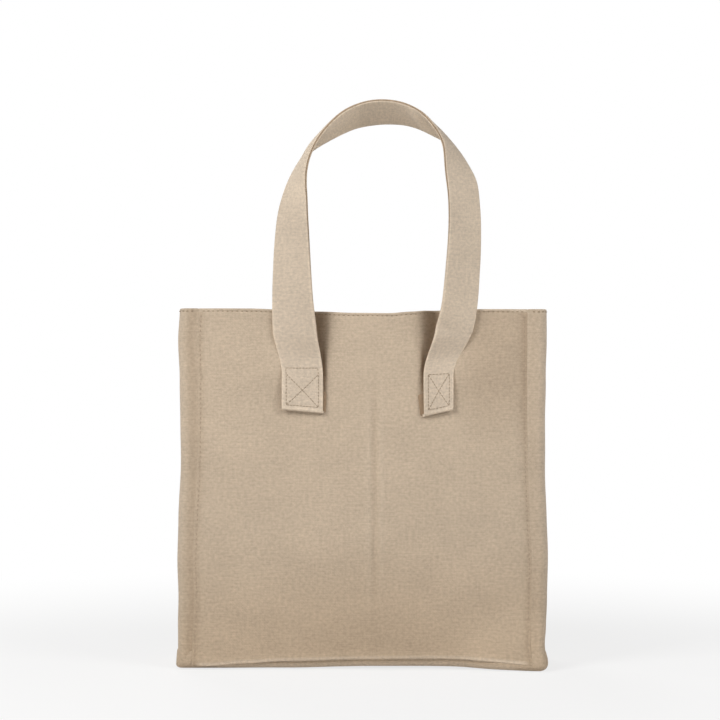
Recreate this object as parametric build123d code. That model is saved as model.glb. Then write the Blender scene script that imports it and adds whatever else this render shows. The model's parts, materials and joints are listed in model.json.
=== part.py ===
from build123d import *
import math
import os

# Canvas tote bag: two panels, two gussets that tuck in, a tray base and two carrying handles.
# The origin is on the floor under the middle of the base, +Z is up and the front faces -Y.

# Bag body, in millimetres and degrees
bag_width = 350.0           # across the two side folds
bag_height = 344.0          # from the floor to the top edge
base_depth = 96.0           # front to back at the floor
mouth_depth = 86.0          # front to back at the top edge
canvas = 1.2                # one ply of heavy canvas
side_fold_radius = 10.0     # soft fold where a gusset turns onto a panel
gusset_tuck = 58.0          # how far a gusset turns inward at the mouth
gusset_tuck_base = 1.0      # the same at the base
tuck_growth = 1.6           # power by which the tuck grows from the base to the mouth
gusset_spans = 6            # spans up a gusset, below its hem
fold_facets = 5             # flats round a side fold
tuck_facets = 7             # flats from a side fold to the deepest line of a gusset
seam_inset = 19.0           # from a side fold to the lapped edge of a panel
seam_lap = 12.0             # how far a panel laps over a gusset
base_rim = 18.0             # height of the base panel's turned-up rim
base_edge_radius = 6.0      # rolled edge between the base and its rim
panel_lift = 7.0            # floor to a panel's lower edge, in the middle
panel_corner_lift = 2.5     # the same at the panel's lower corners
hem_depth = 30.0            # turned-in ply at the top edge
hem_gap = 0.4               # room between a hem and its neighbours

# Handles
strap_width = 40.0
strap_thickness = 2.6       # folded canvas, pressed flat
strap_spacing = 130.0       # between the middles of a handle's two sewn ends
strap_shift = 7.0           # how far to the right of the panel's middle the pair is sewn
end_drop = 53.0             # from the top edge down to the top of a sewn end
end_height = 44.0           # height of a sewn end
turn_under = 19.0           # length of strap that is turned under at a sewn end
bend_length = 30.0          # soft stretch above a sewn end, which bends when a handle drops
bend_spans = 10             # spans along that stretch
hinge_gap = 0.3             # between that stretch and the handle that swings
handle_rise = 211.0         # from the top of the soft stretch to the middle of the arch
hang_angle = 176.0          # turn from upright to hanging against the panel
strap_spans = 39            # spans along a handle

# Route of a handle above its soft stretches, from left to right as seen from outside the panel.
# Each station gives its place across, as a share of half the strap spacing, its height, as a
# share of the rise, the roll of the strap about its own length, in degrees, and how far it
# stands off the panel, as a share of the strap's width.
handle_route = [
    (-1.06, 0.00, 0.0, 0.00),
    (-1.12, 0.14, 9.0, 0.10),
    (-1.14, 0.35, 26.0, 0.20),
    (-1.12, 0.56, 44.0, 0.21),
    (-1.03, 0.72, 66.0, 0.18),
    (-0.86, 0.84, 86.0, 0.13),
    (-0.50, 0.93, 116.0, 0.06),
    (0.16, 1.00, 132.0, 0.03),
    (0.85, 0.93, 112.0, 0.10),
    (1.15, 0.84, 80.0, 0.17),
    (1.32, 0.71, 52.0, 0.23),
    (1.38, 0.42, 38.0, 0.25),
    (1.31, 0.13, 24.0, 0.19),
    (1.20, 0.00, 0.0, 0.00),
]
route_step = 0.02           # stations either side of a section that give the route's direction

# Lean of the panels, and the room that one ply takes on a leaning face, measured level
panel_run = (base_depth - mouth_depth) / 2
panel_slant = math.hypot(bag_height, panel_run)
lean_ply = canvas * panel_slant / bag_height

# Places that several pieces share
panel_width = bag_width - 2 * seam_inset
flange_edge = panel_width / 2 - seam_lap
hem_bottom = bag_height - hem_depth
end_top = panel_slant - end_drop
strap_middle = 1.5 * strap_thickness
hang_turn = math.radians(hang_angle)
route_end = len(handle_route) - 1


def half_depth(height):
    """Distance from the middle of the bag to a panel's outer face at one height."""
    return (base_depth - (base_depth - mouth_depth) * height / bag_height) / 2


def panel_plane(side):
    """Plane of a panel's outer face, with y up the panel and z outward; side is -1 at the front."""
    origin = (0, side * half_depth(0), 0)
    return Plane(origin, x_dir=(-side, 0, 0), z_dir=(0, side * bag_height, panel_run))


def face_through(points):
    """Flat face with these corners."""
    return make_face(Polyline(*points, close=True)).face()


def make_ply(outlines):
    """Soft piece with flat facets, closed at both ends, through a row of matching outlines."""
    faces = [face_through(outlines[0]), face_through(outlines[-1])]
    for lower, upper in zip(outlines, outlines[1:]):
        for i in range(len(lower)):
            faces.append(face_through([lower[i - 1], lower[i], upper[i]]))
            faces.append(face_through([lower[i - 1], upper[i], upper[i - 1]]))
    return Solid(Shell(faces))


def make_panel():
    """Flat ply with an arched lower edge, lying just behind the plane of its outer face."""
    half = panel_width / 2
    lower_left = (-half, panel_corner_lift)
    lower_right = (half, panel_corner_lift)
    outline = [
        ThreePointArc(lower_left, (0, panel_lift), lower_right),
        Polyline(lower_right, (half, panel_slant), (-half, panel_slant), lower_left),
    ]
    return extrude(make_face(outline), -canvas)


def make_panel_hem():
    """Turned-in ply behind the top edge of a panel, between the two gussets."""
    width = 2 * (flange_edge - hem_gap)
    outline = Pos(0, panel_slant - hem_depth / 2, -canvas) * Rectangle(width, hem_depth)
    return extrude(outline, -canvas)


def tuck_at(height):
    """Angle by which a gusset turns inward past its side fold at one height, in radians."""
    share = (height - base_rim) / (bag_height - base_rim)
    return math.radians(gusset_tuck_base + (gusset_tuck - gusset_tuck_base) * share**tuck_growth)


def gusset_path(height, inset):
    """Points of a gusset from its front flange round to its back one, inset from its outer face."""
    tuck = tuck_at(height)
    reach = half_depth(height) - lean_ply * (1 + inset / canvas)
    radius = side_fold_radius - inset
    fold = Vector(bag_width / 2 - side_fold_radius, radius - reach, height)
    points = [Vector(flange_edge, -reach, height)]
    for i in range(fold_facets + 1):
        angle = (tuck + math.pi / 2) * i / fold_facets - math.pi / 2
        points.append(fold + Vector(math.cos(angle), math.sin(angle)) * radius)
    tuck_radius = -points[-1].Y / math.sin(tuck)
    tuck_centre = points[-1] + Vector(math.cos(tuck), math.sin(tuck)) * tuck_radius
    for i in range(1, tuck_facets):
        angle = tuck * (1 - i / tuck_facets)
        points.append(tuck_centre - Vector(math.cos(angle), math.sin(angle)) * tuck_radius)
    deepest = tuck_centre - Vector(tuck_radius, 0)
    return points + [deepest] + [Vector(point.X, -point.Y, height) for point in reversed(points)]


def gusset_outline(height, inset):
    """Level outline of one ply of a gusset."""
    return gusset_path(height, inset) + gusset_path(height, inset + canvas)[::-1]


def make_gusset():
    """Right gusset, from the base panel's rim to the top edge."""
    step = (hem_bottom - base_rim) / gusset_spans
    heights = [base_rim + step * i for i in range(gusset_spans + 1)] + [bag_height]
    return make_ply([gusset_outline(height, 0) for height in heights])


def make_gusset_hem():
    """Turned-in ply inside the top edge of the right gusset."""
    return make_ply([gusset_outline(height, canvas + hem_gap) for height in (hem_bottom, bag_height)])


def make_base():
    """Shallow tray with a rolled lower edge, lapped by the panels and butted by the gussets."""
    depth = 2 * (half_depth(base_rim) - lean_ply)
    outer = extrude(RectangleRounded(bag_width, depth, side_fold_radius), base_rim)
    outer = fillet(outer.edges().group_by(Axis.Z)[0], base_edge_radius)
    room = RectangleRounded(bag_width - 2 * canvas, depth - 2 * canvas, side_fold_radius - canvas)
    inner = extrude(Pos(0, 0, canvas) * room, base_rim)
    inner = fillet(inner.edges().group_by(Axis.Z)[0], base_edge_radius - canvas)
    return outer - inner


def end_middle(place):
    """Middle of a sewn end, across the panel; place is -1 on the left and 1 on the right."""
    return strap_shift + place * strap_spacing / 2


def make_strap_end(place):
    """Sewn end of a strap, turned under at its lower edge."""
    bottom = end_top - end_height
    round_height = bottom + strap_thickness
    two_plies = 2 * strap_thickness
    outline = [
        ThreePointArc((round_height, two_plies), (bottom, strap_thickness), (round_height, 0)),
        Polyline(
            (round_height, 0),
            (bottom + turn_under, 0),
            (bottom + turn_under, strap_thickness),
            (end_top, strap_thickness),
            (end_top, two_plies),
            (round_height, two_plies),
        ),
    ]
    profile = Plane.YZ * make_face(outline)
    return Pos(end_middle(place), 0, 0) * extrude(profile, strap_width / 2, both=True)


def bend_arc(share, turn):
    """How far a soft stretch has gone out and up at a share of its length, if it turns so far."""
    if turn == 0:
        return 0, bend_length * share
    radius = bend_length / turn
    return radius * (1 - math.cos(turn * share)), radius * math.sin(turn * share)


def strap_outline(middle, across, along):
    """Corners of the strap where it is cut square, with its width along one direction."""
    plane = Plane(middle, x_dir=across, z_dir=along)
    edge = strap_width / 2
    face = strap_thickness / 2
    corners = [(-edge, -face), (edge, -face), (edge, face), (-edge, face)]
    return [plane.from_local_coords(Vector(x, y, 0)) for x, y in corners]


def make_bend(place, turn):
    """Soft stretch of strap from a sewn end to the handle, leaning towards the handle's leg."""
    first_station = handle_route[0 if place < 0 else route_end]
    lean = (first_station[0] - place) * strap_spacing / 2
    outlines = []
    for i in range(bend_spans + 1):
        share = i / bend_spans
        out, up = bend_arc(share, turn)
        middle = Vector(end_middle(place) + lean * share, end_top + up, strap_middle + out)
        along = Vector(0, math.cos(turn * share), math.sin(turn * share))
        outlines.append(strap_outline(middle, Vector(1, 0, 0), along))
    return make_ply(outlines)


def route_values(position):
    """Smooth values along the handle's route, at a position counted in stations."""
    index = min(int(position), route_end - 1)
    share = position - index
    before = handle_route[max(index - 1, 0)]
    start = handle_route[index]
    end = handle_route[index + 1]
    after = handle_route[min(index + 2, route_end)]
    values = []
    for a, b, c, d in zip(before, start, end, after):
        slope_in = (c - a) / 2
        slope_out = (d - b) / 2
        bend = 3 * (c - b) - 2 * slope_in - slope_out
        twist = 2 * (b - c) + slope_in + slope_out
        values.append(b + share * (slope_in + share * (bend + share * twist)))
    return values


def route_point(position):
    """Middle of the strap in the panel's own plane, at a position counted in stations."""
    across, up, roll, stand_off = route_values(position)
    return Vector(
        strap_shift + across * strap_spacing / 2,
        end_top + bend_length + hinge_gap + up * handle_rise,
        strap_middle + stand_off * strap_width,
    )


def handle_outline(position):
    """Corners of the handle's strap, square to the route and rolled about it."""
    if position in (0, route_end):
        along = Vector(0, 1 if position == 0 else -1, 0)
    else:
        along = route_point(position + route_step) - route_point(position - route_step)
    inward = along.cross(Vector(0, 0, 1)).normalized()
    outward = inward.cross(along).normalized()
    roll = math.radians(route_values(position)[2])
    across = inward * math.cos(roll) + outward * math.sin(roll)
    return strap_outline(route_point(position), across, along)


def make_handle():
    """Upright strap above the two soft stretches, rolling over towards the top of its arch."""
    positions = [route_end * i / strap_spans for i in range(strap_spans + 1)]
    return make_ply([handle_outline(position) for position in positions])


def hinge_axis(side):
    """Level line that a handle swings about: the centre of the turn that its soft stretches take."""
    out, up = bend_arc(1, hang_turn)
    spread = 2 * math.tan(hang_turn / 2)
    centre_out = out / 2 - (bend_length - up) / spread
    centre_up = (bend_length + up) / 2 - out / spread
    centre = Vector(0, end_top + centre_up, strap_middle + centre_out)
    return Axis(panel_plane(side).from_local_coords(centre), (1, 0, 0))


def make_nodes():
    """Every separate piece of the bag, by name."""
    front = panel_plane(-1)
    back = panel_plane(1)
    gusset = make_gusset()
    gusset_hem = make_gusset_hem()
    handle = make_handle()
    return {
        "front_panel": front * make_panel(),
        "back_panel": back * make_panel(),
        "right_gusset": gusset,
        "left_gusset": mirror(gusset, about=Plane.YZ),
        "base_panel": make_base(),
        "front_hem": front * make_panel_hem(),
        "back_hem": back * make_panel_hem(),
        "right_hem": gusset_hem,
        "left_hem": mirror(gusset_hem, about=Plane.YZ),
        "front_left_strap_end": front * make_strap_end(-1),
        "front_right_strap_end": front * make_strap_end(1),
        "back_left_strap_end": back * make_strap_end(1),
        "back_right_strap_end": back * make_strap_end(-1),
        "front_left_strap_bend": front * make_bend(-1, 0),
        "front_right_strap_bend": front * make_bend(1, 0),
        "back_left_strap_bend": back * make_bend(1, hang_turn),
        "back_right_strap_bend": back * make_bend(-1, hang_turn),
        "front_handle": front * handle,
        "back_handle": (back * handle).rotate(hinge_axis(1), -hang_angle),
    }


if __name__ == "__main__":
    os.makedirs("parts", exist_ok=True)
    for name, shape in make_nodes().items():
        export_step(shape, f"parts/{name}.step")
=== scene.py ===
import json
import logging
import math
from collections.abc import Callable, Sequence
from dataclasses import dataclass, field, replace
from enum import Enum
from typing import NamedTuple

import bpy
from mathutils import Matrix, Vector, noise


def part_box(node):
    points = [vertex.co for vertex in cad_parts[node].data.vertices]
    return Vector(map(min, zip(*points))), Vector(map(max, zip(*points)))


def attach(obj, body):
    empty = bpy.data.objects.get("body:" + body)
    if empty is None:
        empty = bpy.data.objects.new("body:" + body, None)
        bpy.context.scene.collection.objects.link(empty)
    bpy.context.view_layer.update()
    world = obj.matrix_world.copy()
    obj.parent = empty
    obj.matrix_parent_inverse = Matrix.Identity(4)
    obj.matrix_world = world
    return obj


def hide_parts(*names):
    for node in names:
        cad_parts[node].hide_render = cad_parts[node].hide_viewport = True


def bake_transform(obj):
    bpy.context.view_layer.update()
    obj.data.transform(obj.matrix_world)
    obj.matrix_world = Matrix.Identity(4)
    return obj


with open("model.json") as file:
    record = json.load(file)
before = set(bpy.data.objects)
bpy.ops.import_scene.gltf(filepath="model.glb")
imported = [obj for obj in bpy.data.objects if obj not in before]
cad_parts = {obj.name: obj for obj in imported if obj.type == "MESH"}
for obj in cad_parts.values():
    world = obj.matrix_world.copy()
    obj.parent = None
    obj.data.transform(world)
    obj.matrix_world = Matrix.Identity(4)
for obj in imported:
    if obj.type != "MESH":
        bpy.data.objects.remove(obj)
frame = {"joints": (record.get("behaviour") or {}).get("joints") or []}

# A canvas tote bag: sagging panels, tucked gussets, a tray base and two folded straps, all sewn.
# Sizes are in millimetres, and meshes are written in metres.

LOG = logging.getLogger("tote_bag")
MM = 0.001

# Sockets of the node that mixes two colours
MIX_FACTOR, MIX_FIRST, MIX_SECOND = 0, 6, 7
MIX_RESULT = 2

Pairs = Sequence[tuple[float, float]]
Colour = tuple[float, float, float]
Face = tuple[int, ...]
Place = tuple[float, float]
Span = tuple[float, float]
ClothPoint = tuple[Vector, Place, float]


def smooth(start: float, end: float, value: float) -> float:
    """Eases from 0 at start to 1 at end.

    Args:
        start: value where the result is 0.
        end: value where the result is 1.
        value: value to ease.

    Returns:
        The eased share, from 0 to 1.
    """
    share = min(max((value - start) / (end - start), 0.0), 1.0)
    return share * share * (3 - 2 * share)


def bell(centre: float, spread: float, value: float) -> float:
    """Height, from 0 to 1, of a bell curve at a value."""
    return math.exp(-(((value - centre) / spread) ** 2))


def eased(pairs: Pairs, place: float) -> float:
    """Value at a place, eased between neighbouring pairs.

    Args:
        pairs: places in rising order, each with its value.
        place: where the value is wanted.

    Returns:
        The value there, constant beyond the first and last pairs.
    """
    before = pairs[0]
    for after in pairs:
        if place < after[0]:
            break
        before = after
    if before[0] >= after[0] or place <= before[0]:
        return before[1]
    share = smooth(before[0], after[0], place)
    return before[1] + (after[1] - before[1]) * share


def graded(start: float, end: float, fine_places: Sequence[float], fine: float, coarse: float) -> list[float]:
    """Places from start to end, close together beside the fine places and further apart elsewhere.

    Args:
        start: first place.
        end: last place.
        fine_places: where the steps are fine.
        fine: step beside a fine place.
        coarse: step away from them.

    Returns:
        The places, in rising order.
    """
    reach = 4 * coarse
    places = [start]
    while places[-1] < end:
        distance = min(abs(places[-1] - place) for place in fine_places)
        places.append(places[-1] + fine + (coarse - fine) * smooth(0, reach, distance))
    scale = (end - start) / (places[-1] - start)
    return [start + (place - start) * scale for place in places]


def distances(path: Sequence[Vector]) -> list[float]:
    """Measures along a path.

    Args:
        path: its points.

    Returns:
        The distance along the path of each point.
    """
    reached = [0.0]
    for start, end in zip(path, path[1:]):
        reached.append(reached[-1] + (end - start).length)
    return reached


class Side(Enum):
    """The bag's two large faces, each with its direction along Y."""

    FRONT = -1
    BACK = 1

    @property
    def word(self) -> str:
        """Name of the side, as the pieces use it."""
        return self.name.lower()

    def outward(self, along: Vector) -> Vector:
        """Direction out of this face, which is the same along every seam."""
        return Vector((0, self.value, 0))


class End(Enum):
    """The two ends of a strap, as seen from outside the panel, each with its direction."""

    LEFT = -1
    RIGHT = 1

    def name_on(self, side: Side) -> str:
        """Name of this end as seen from the bag's front."""
        flipped = -self.value * side.value
        return End(flipped).name.lower()


class Wire:
    """A shader value on which Python's operators add Math nodes."""

    def __init__(self, tree: bpy.types.NodeTree, socket: bpy.types.NodeSocket) -> None:
        """Wraps one output socket of a node tree."""
        self.tree = tree
        self.socket = socket

    def math(self, operation: str, first: "Wire | float", second: "Wire | float" = 0.0) -> "Wire":
        """Adds one Math node.

        Args:
            operation: the node's operation.
            first: its first value.
            second: its second value, where it has one.

        Returns:
            The node's result.
        """
        node = self.tree.nodes.new("ShaderNodeMath")
        node.operation = operation
        for slot, value in zip(node.inputs, (first, second)):
            if isinstance(value, Wire):
                self.tree.links.new(value.socket, slot)
            else:
                slot.default_value = value
        return Wire(self.tree, node.outputs[0])

    def __add__(self, other: "Wire | float") -> "Wire":
        """Sum of two values."""
        return self.math("ADD", self, other)

    __radd__ = __add__

    def __sub__(self, other: "Wire | float") -> "Wire":
        """Difference of two values."""
        return self.math("SUBTRACT", self, other)

    def __rsub__(self, other: float) -> "Wire":
        """A number less this value."""
        return self.math("SUBTRACT", other, self)

    def __mul__(self, other: "Wire | float") -> "Wire":
        """Product of two values."""
        return self.math("MULTIPLY", self, other)

    __rmul__ = __mul__

    def sine(self) -> "Wire":
        """Sine of the value, in radians."""
        return self.math("SINE", self)


class FinishTree:
    """The node tree of one material."""

    def __init__(self, name: str) -> None:
        """Starts an empty material.

        Args:
            name: the material's name.
        """
        self.material = bpy.data.materials.new(name)
        self.material.use_nodes = True
        self.tree = self.material.node_tree
        self.tree.nodes.clear()

    def node(self, kind: str, settings: dict, sockets: dict) -> bpy.types.Node:
        """Adds a node.

        Args:
            kind: the node's type.
            settings: its properties, which are set first.
            sockets: values or links of its inputs, by name or number.

        Returns:
            The new node.
        """
        node = self.tree.nodes.new(kind)
        for name, value in settings.items():
            setattr(node, name, value)
        for name, value in sockets.items():
            if isinstance(value, Wire):
                self.tree.links.new(value.socket, node.inputs[name])
            else:
                node.inputs[name].default_value = value
        return node

    def wire(self, kind: str, settings: dict, sockets: dict, output: str | int = 0) -> Wire:
        """Adds a node and gives one of its outputs."""
        return Wire(self.tree, self.node(kind, settings, sockets).outputs[output])

    def mix(
        self, factor: Wire | float, first: Wire | Colour, second: Wire | Colour, blend: str = "MIX"
    ) -> Wire:
        """Adds a node that mixes two colours.

        Args:
            factor: how far the second colour counts.
            first: the first colour.
            second: the second colour.
            blend: the node's way of mixing.

        Returns:
            The mixed colour.
        """
        first, second = (value if isinstance(value, Wire) else (*value, 1.0) for value in (first, second))
        sockets = {MIX_FACTOR: factor, MIX_FIRST: first, MIX_SECOND: second}
        return self.wire("ShaderNodeMix", {"data_type": "RGBA", "blend_type": blend}, sockets, MIX_RESULT)

    def finish(self, surface: Wire) -> bpy.types.Material:
        """Gives the material its surface and returns it."""
        self.node("ShaderNodeOutputMaterial", {}, {"Surface": surface})
        return self.material


@dataclass(frozen=True)
class Streak:
    """Uneven tone over a cloth: a patch's size in millimetres, its finer layers, tone and relief."""

    across: float
    along: float
    detail: float
    tone: float
    relief: float = 0.0
    roughness: float = 0.55

    def wire(self, tree: FinishTree, cloth: Wire) -> Wire:
        """Noise about zero that is stretched over the cloth.

        Args:
            tree: the material's tree.
            cloth: place on the flat cloth, in metres.

        Returns:
            The noise, from about -0.5 to 0.5.
        """
        scale = (1 / (self.across * MM), 1 / (self.along * MM), 1.0)
        place = tree.wire("ShaderNodeMapping", {}, {"Vector": cloth, "Scale": scale})
        sockets = {"Vector": place, "Scale": 1.0, "Detail": self.detail, "Roughness": self.roughness}
        return tree.wire("ShaderNodeTexNoise", {"noise_dimensions": "2D"}, sockets) - 0.5


@dataclass(frozen=True)
class CanvasFinish:
    """Plain-woven cotton canvas, with uneven yarns, painted highlights and wear where marked pale, painted
    shade where marked dark, and painted shade towards the floor.
    """

    name: str
    colour: Colour
    rubbed_colour: Colour
    yarn: float = 0.75
    yarn_drift: float = 2.5
    weave_tone: float = 0.09
    weave_relief: float = 0.45
    weft: Streak = Streak(16.0, 0.9, 3.0, 0.26, 0.9)
    warp: Streak = Streak(0.9, 22.0, 3.0, 0.13, 0.5)
    mottle: Streak = Streak(3.2, 2.6, 2.0, 0.4, 0.6)
    cloud: Streak = Streak(55.0, 40.0, 2.0, 0.18)
    groove_tint: Colour = (0.53, 0.45, 0.37)
    bump_strength: float = 0.5
    bump_depth: float = 0.32
    # Painted shade towards the floor: this tint is multiplied in at the floor and fades out by the height
    # below.
    low_tint: Colour = (1.0, 1.0, 1.0)
    tint_height: float = 150.0
    roughness: float = 0.9
    weave_polish: float = 0.04
    rub_polish: float = 0.06
    specular: float = 0.25
    sheen: float = 0.12
    sheen_roughness: float = 0.5

    def handled(self, tree: FinishTree, colour_with_painted_light: Wire) -> Wire:
        """Painted shade: darkens the cloth towards the floor.

        Args:
            tree: the material's tree.
            colour_with_painted_light: the cloth's colour, with its painted light and wear.

        Returns:
            The darkened colour.
        """
        place = tree.wire("ShaderNodeTexCoord", {}, {}, "Object")
        height = tree.wire("ShaderNodeSeparateXYZ", {}, {"Vector": place}, "Z")
        fade = {"Value": height, "From Max": self.tint_height * MM, "To Min": 1.0, "To Max": 0.0}
        low = tree.wire("ShaderNodeMapRange", {"interpolation_type": "SMOOTHSTEP"}, fade)
        return tree.mix(low, colour_with_painted_light, self.low_tint, "MULTIPLY")

    def material(self) -> bpy.types.Material:
        """Builds the material.

        Returns:
            The new material.
        """
        tree = FinishTree(self.name)
        cloth = tree.wire("ShaderNodeUVMap", {"uv_map": "cloth"}, {})
        streaks = (self.weft, self.warp, self.mottle, self.cloud)
        weft, warp, mottle, cloud = (streak.wire(tree, cloth) for streak in streaks)
        split = tree.node("ShaderNodeSeparateXYZ", {}, {"Vector": cloth})
        turns = math.pi / (self.yarn * MM)
        over = (Wire(tree.tree, split.outputs["X"]) * turns + warp * self.yarn_drift).sine()
        under = (Wire(tree.tree, split.outputs["Y"]) * turns + weft * self.yarn_drift).sine()
        weave = over * under
        tone = 1.0 + weave * self.weave_tone + weft * self.weft.tone + warp * self.warp.tone
        tone = tone + mottle * self.mottle.tone + cloud * self.cloud.tone
        rub = tree.wire("ShaderNodeAttribute", {"attribute_name": "rub"}, {}, "Fac")
        # Painted light: the paler colour is mixed in for painted highlights and wear, and the dark tint is
        # multiplied in for painted shade.
        colour_with_painted_light = tree.mix(rub, self.colour, self.rubbed_colour)
        colour_with_painted_light = tree.mix(0.0 - rub, colour_with_painted_light, self.groove_tint, "MULTIPLY")
        height = weave * self.weave_relief + weft * self.weft.relief + warp * self.warp.relief
        height = height + mottle * self.mottle.relief
        bump = {"Strength": self.bump_strength, "Distance": self.bump_depth * MM, "Height": height}
        sockets = {
            "Base Color": tree.mix(1.0, self.handled(tree, colour_with_painted_light), tone, "MULTIPLY"),
            "Roughness": self.roughness - weave * self.weave_polish - rub * self.rub_polish,
            "Normal": tree.wire("ShaderNodeBump", {}, bump),
            "Specular IOR Level": self.specular,
            "Sheen Weight": self.sheen,
            "Sheen Roughness": self.sheen_roughness,
        }
        return tree.finish(tree.wire("ShaderNodeBsdfPrincipled", {}, sockets))


@dataclass(frozen=True)
class ThreadFinish:
    """Twisted cotton sewing thread."""

    name: str
    colour: Colour
    twist: float = 0.9
    twist_tone: float = 0.06
    bump_strength: float = 0.4
    bump_depth: float = 0.1
    fibre_scale: float = 900.0
    fibre_detail: float = 2.0
    fibre_tone: float = 0.2
    fibre_roughness: float = 0.2
    tone: float = 0.9
    roughness: float = 0.7

    def material(self) -> bpy.types.Material:
        """Builds the material.

        Returns:
            The new material.
        """
        tree = FinishTree(self.name)
        place = tree.wire("ShaderNodeTexCoord", {}, {}, "Object")
        split = tree.node("ShaderNodeSeparateXYZ", {}, {"Vector": place})
        along = Wire(tree.tree, split.outputs["X"]) + Wire(tree.tree, split.outputs["Z"])
        ply = (along * (2 * math.pi / (self.twist * MM))).sine()
        fibres = {"Vector": place, "Scale": self.fibre_scale, "Detail": self.fibre_detail}
        fibre = tree.wire("ShaderNodeTexNoise", {}, fibres)
        tone = self.tone + ply * self.twist_tone + fibre * self.fibre_tone
        bump = {"Strength": self.bump_strength, "Distance": self.bump_depth * MM, "Height": ply}
        sockets = {
            "Base Color": tree.mix(1.0, self.colour, tone, "MULTIPLY"),
            "Roughness": self.roughness + fibre * self.fibre_roughness,
            "Normal": tree.wire("ShaderNodeBump", {}, bump),
        }
        return tree.finish(tree.wire("ShaderNodeBsdfPrincipled", {}, sockets))


def add_piece(name: str, points: Sequence[Vector], faces: Sequence[Face]) -> bpy.types.Object:
    """Makes an object from a mesh in millimetres.

    Args:
        name: the piece's name.
        points: its vertices, in millimetres.
        faces: its faces, as numbers of vertices.

    Returns:
        The new object, shaded smooth, with its place in its mesh.
    """
    mesh = bpy.data.meshes.new(name)
    mesh.from_pydata([point * MM for point in points], [], faces)
    mesh.shade_smooth()
    piece = bpy.data.objects.new(name, mesh)
    bpy.context.scene.collection.objects.link(piece)
    return piece


def lay_cloth(piece: bpy.types.Object, places: Sequence[Sequence[Place]]) -> None:
    """Gives a piece its places on the flat cloth, as a UV map in metres.

    Args:
        piece: the object.
        places: for each face, the place of each of its corners, in millimetres.
    """
    layer = piece.data.uv_layers.new(name="cloth")
    flat = [share * MM for corners in places for place in corners for share in place]
    layer.data.foreach_set("uv", flat)


def mark_rub(piece: bpy.types.Object, shares: Sequence[float]) -> None:
    """Stores each vertex's painted light and wear: paler with painted highlight and wear up to 1, darker with
    painted shade down to -1.
    """
    attribute = piece.data.attributes.new("rub", "FLOAT", "POINT")
    attribute.data.foreach_set("value", shares)


def soften(piece: bpy.types.Object, thickness: float | None) -> None:
    """Gives a sheet its thickness and rounds it.

    Args:
        piece: the object.
        thickness: thickness about the mesh, in millimetres, or None for a closed mesh.
    """
    if thickness is not None:
        shell = piece.modifiers.new("thickness", "SOLIDIFY")
        shell.thickness = thickness * MM
        shell.offset = 0.0
        shell.use_even_offset = True
    rounding = piece.modifiers.new("rounding", "SUBSURF")
    rounding.levels = 1
    rounding.render_levels = 1


@dataclass
class ClothGrid:
    """A sheet as rows of points, with each point's place on the flat cloth and its painted light and wear."""

    rows: list[Sequence[Vector]] = field(default_factory=list)
    places: list[Sequence[Place]] = field(default_factory=list)
    rubs: list[Sequence[float]] = field(default_factory=list)

    def add(self, row: Sequence[ClothPoint]) -> None:
        """Adds a row of points, each with its place on the flat cloth and its painted light and wear."""
        for kept, values in zip((self.rows, self.places, self.rubs), zip(*row)):
            kept.append(values)

    def piece(self, name: str, thickness: float, flipped: bool) -> bpy.types.Object:
        """Makes the sheet.

        Args:
            name: the piece's name.
            thickness: thickness of the cloth, in millimetres.
            flipped: whether the faces turn the other way round.

        Returns:
            The new object.
        """
        count = len(self.rows[0])
        points = [point for row in self.rows for point in row]
        flat = [place for row in self.places for place in row]
        faces = []
        for i in range(len(self.rows) - 1):
            for j in range(count - 1):
                corner = i * count + j
                face = (corner, corner + 1, corner + count + 1, corner + count)
                faces.append(face[::-1] if flipped else face)
        piece = add_piece(name, points, faces)
        lay_cloth(piece, [[flat[corner] for corner in face] for face in faces])
        mark_rub(piece, [rub for row in self.rubs for rub in row])
        soften(piece, thickness)
        return piece


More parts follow.
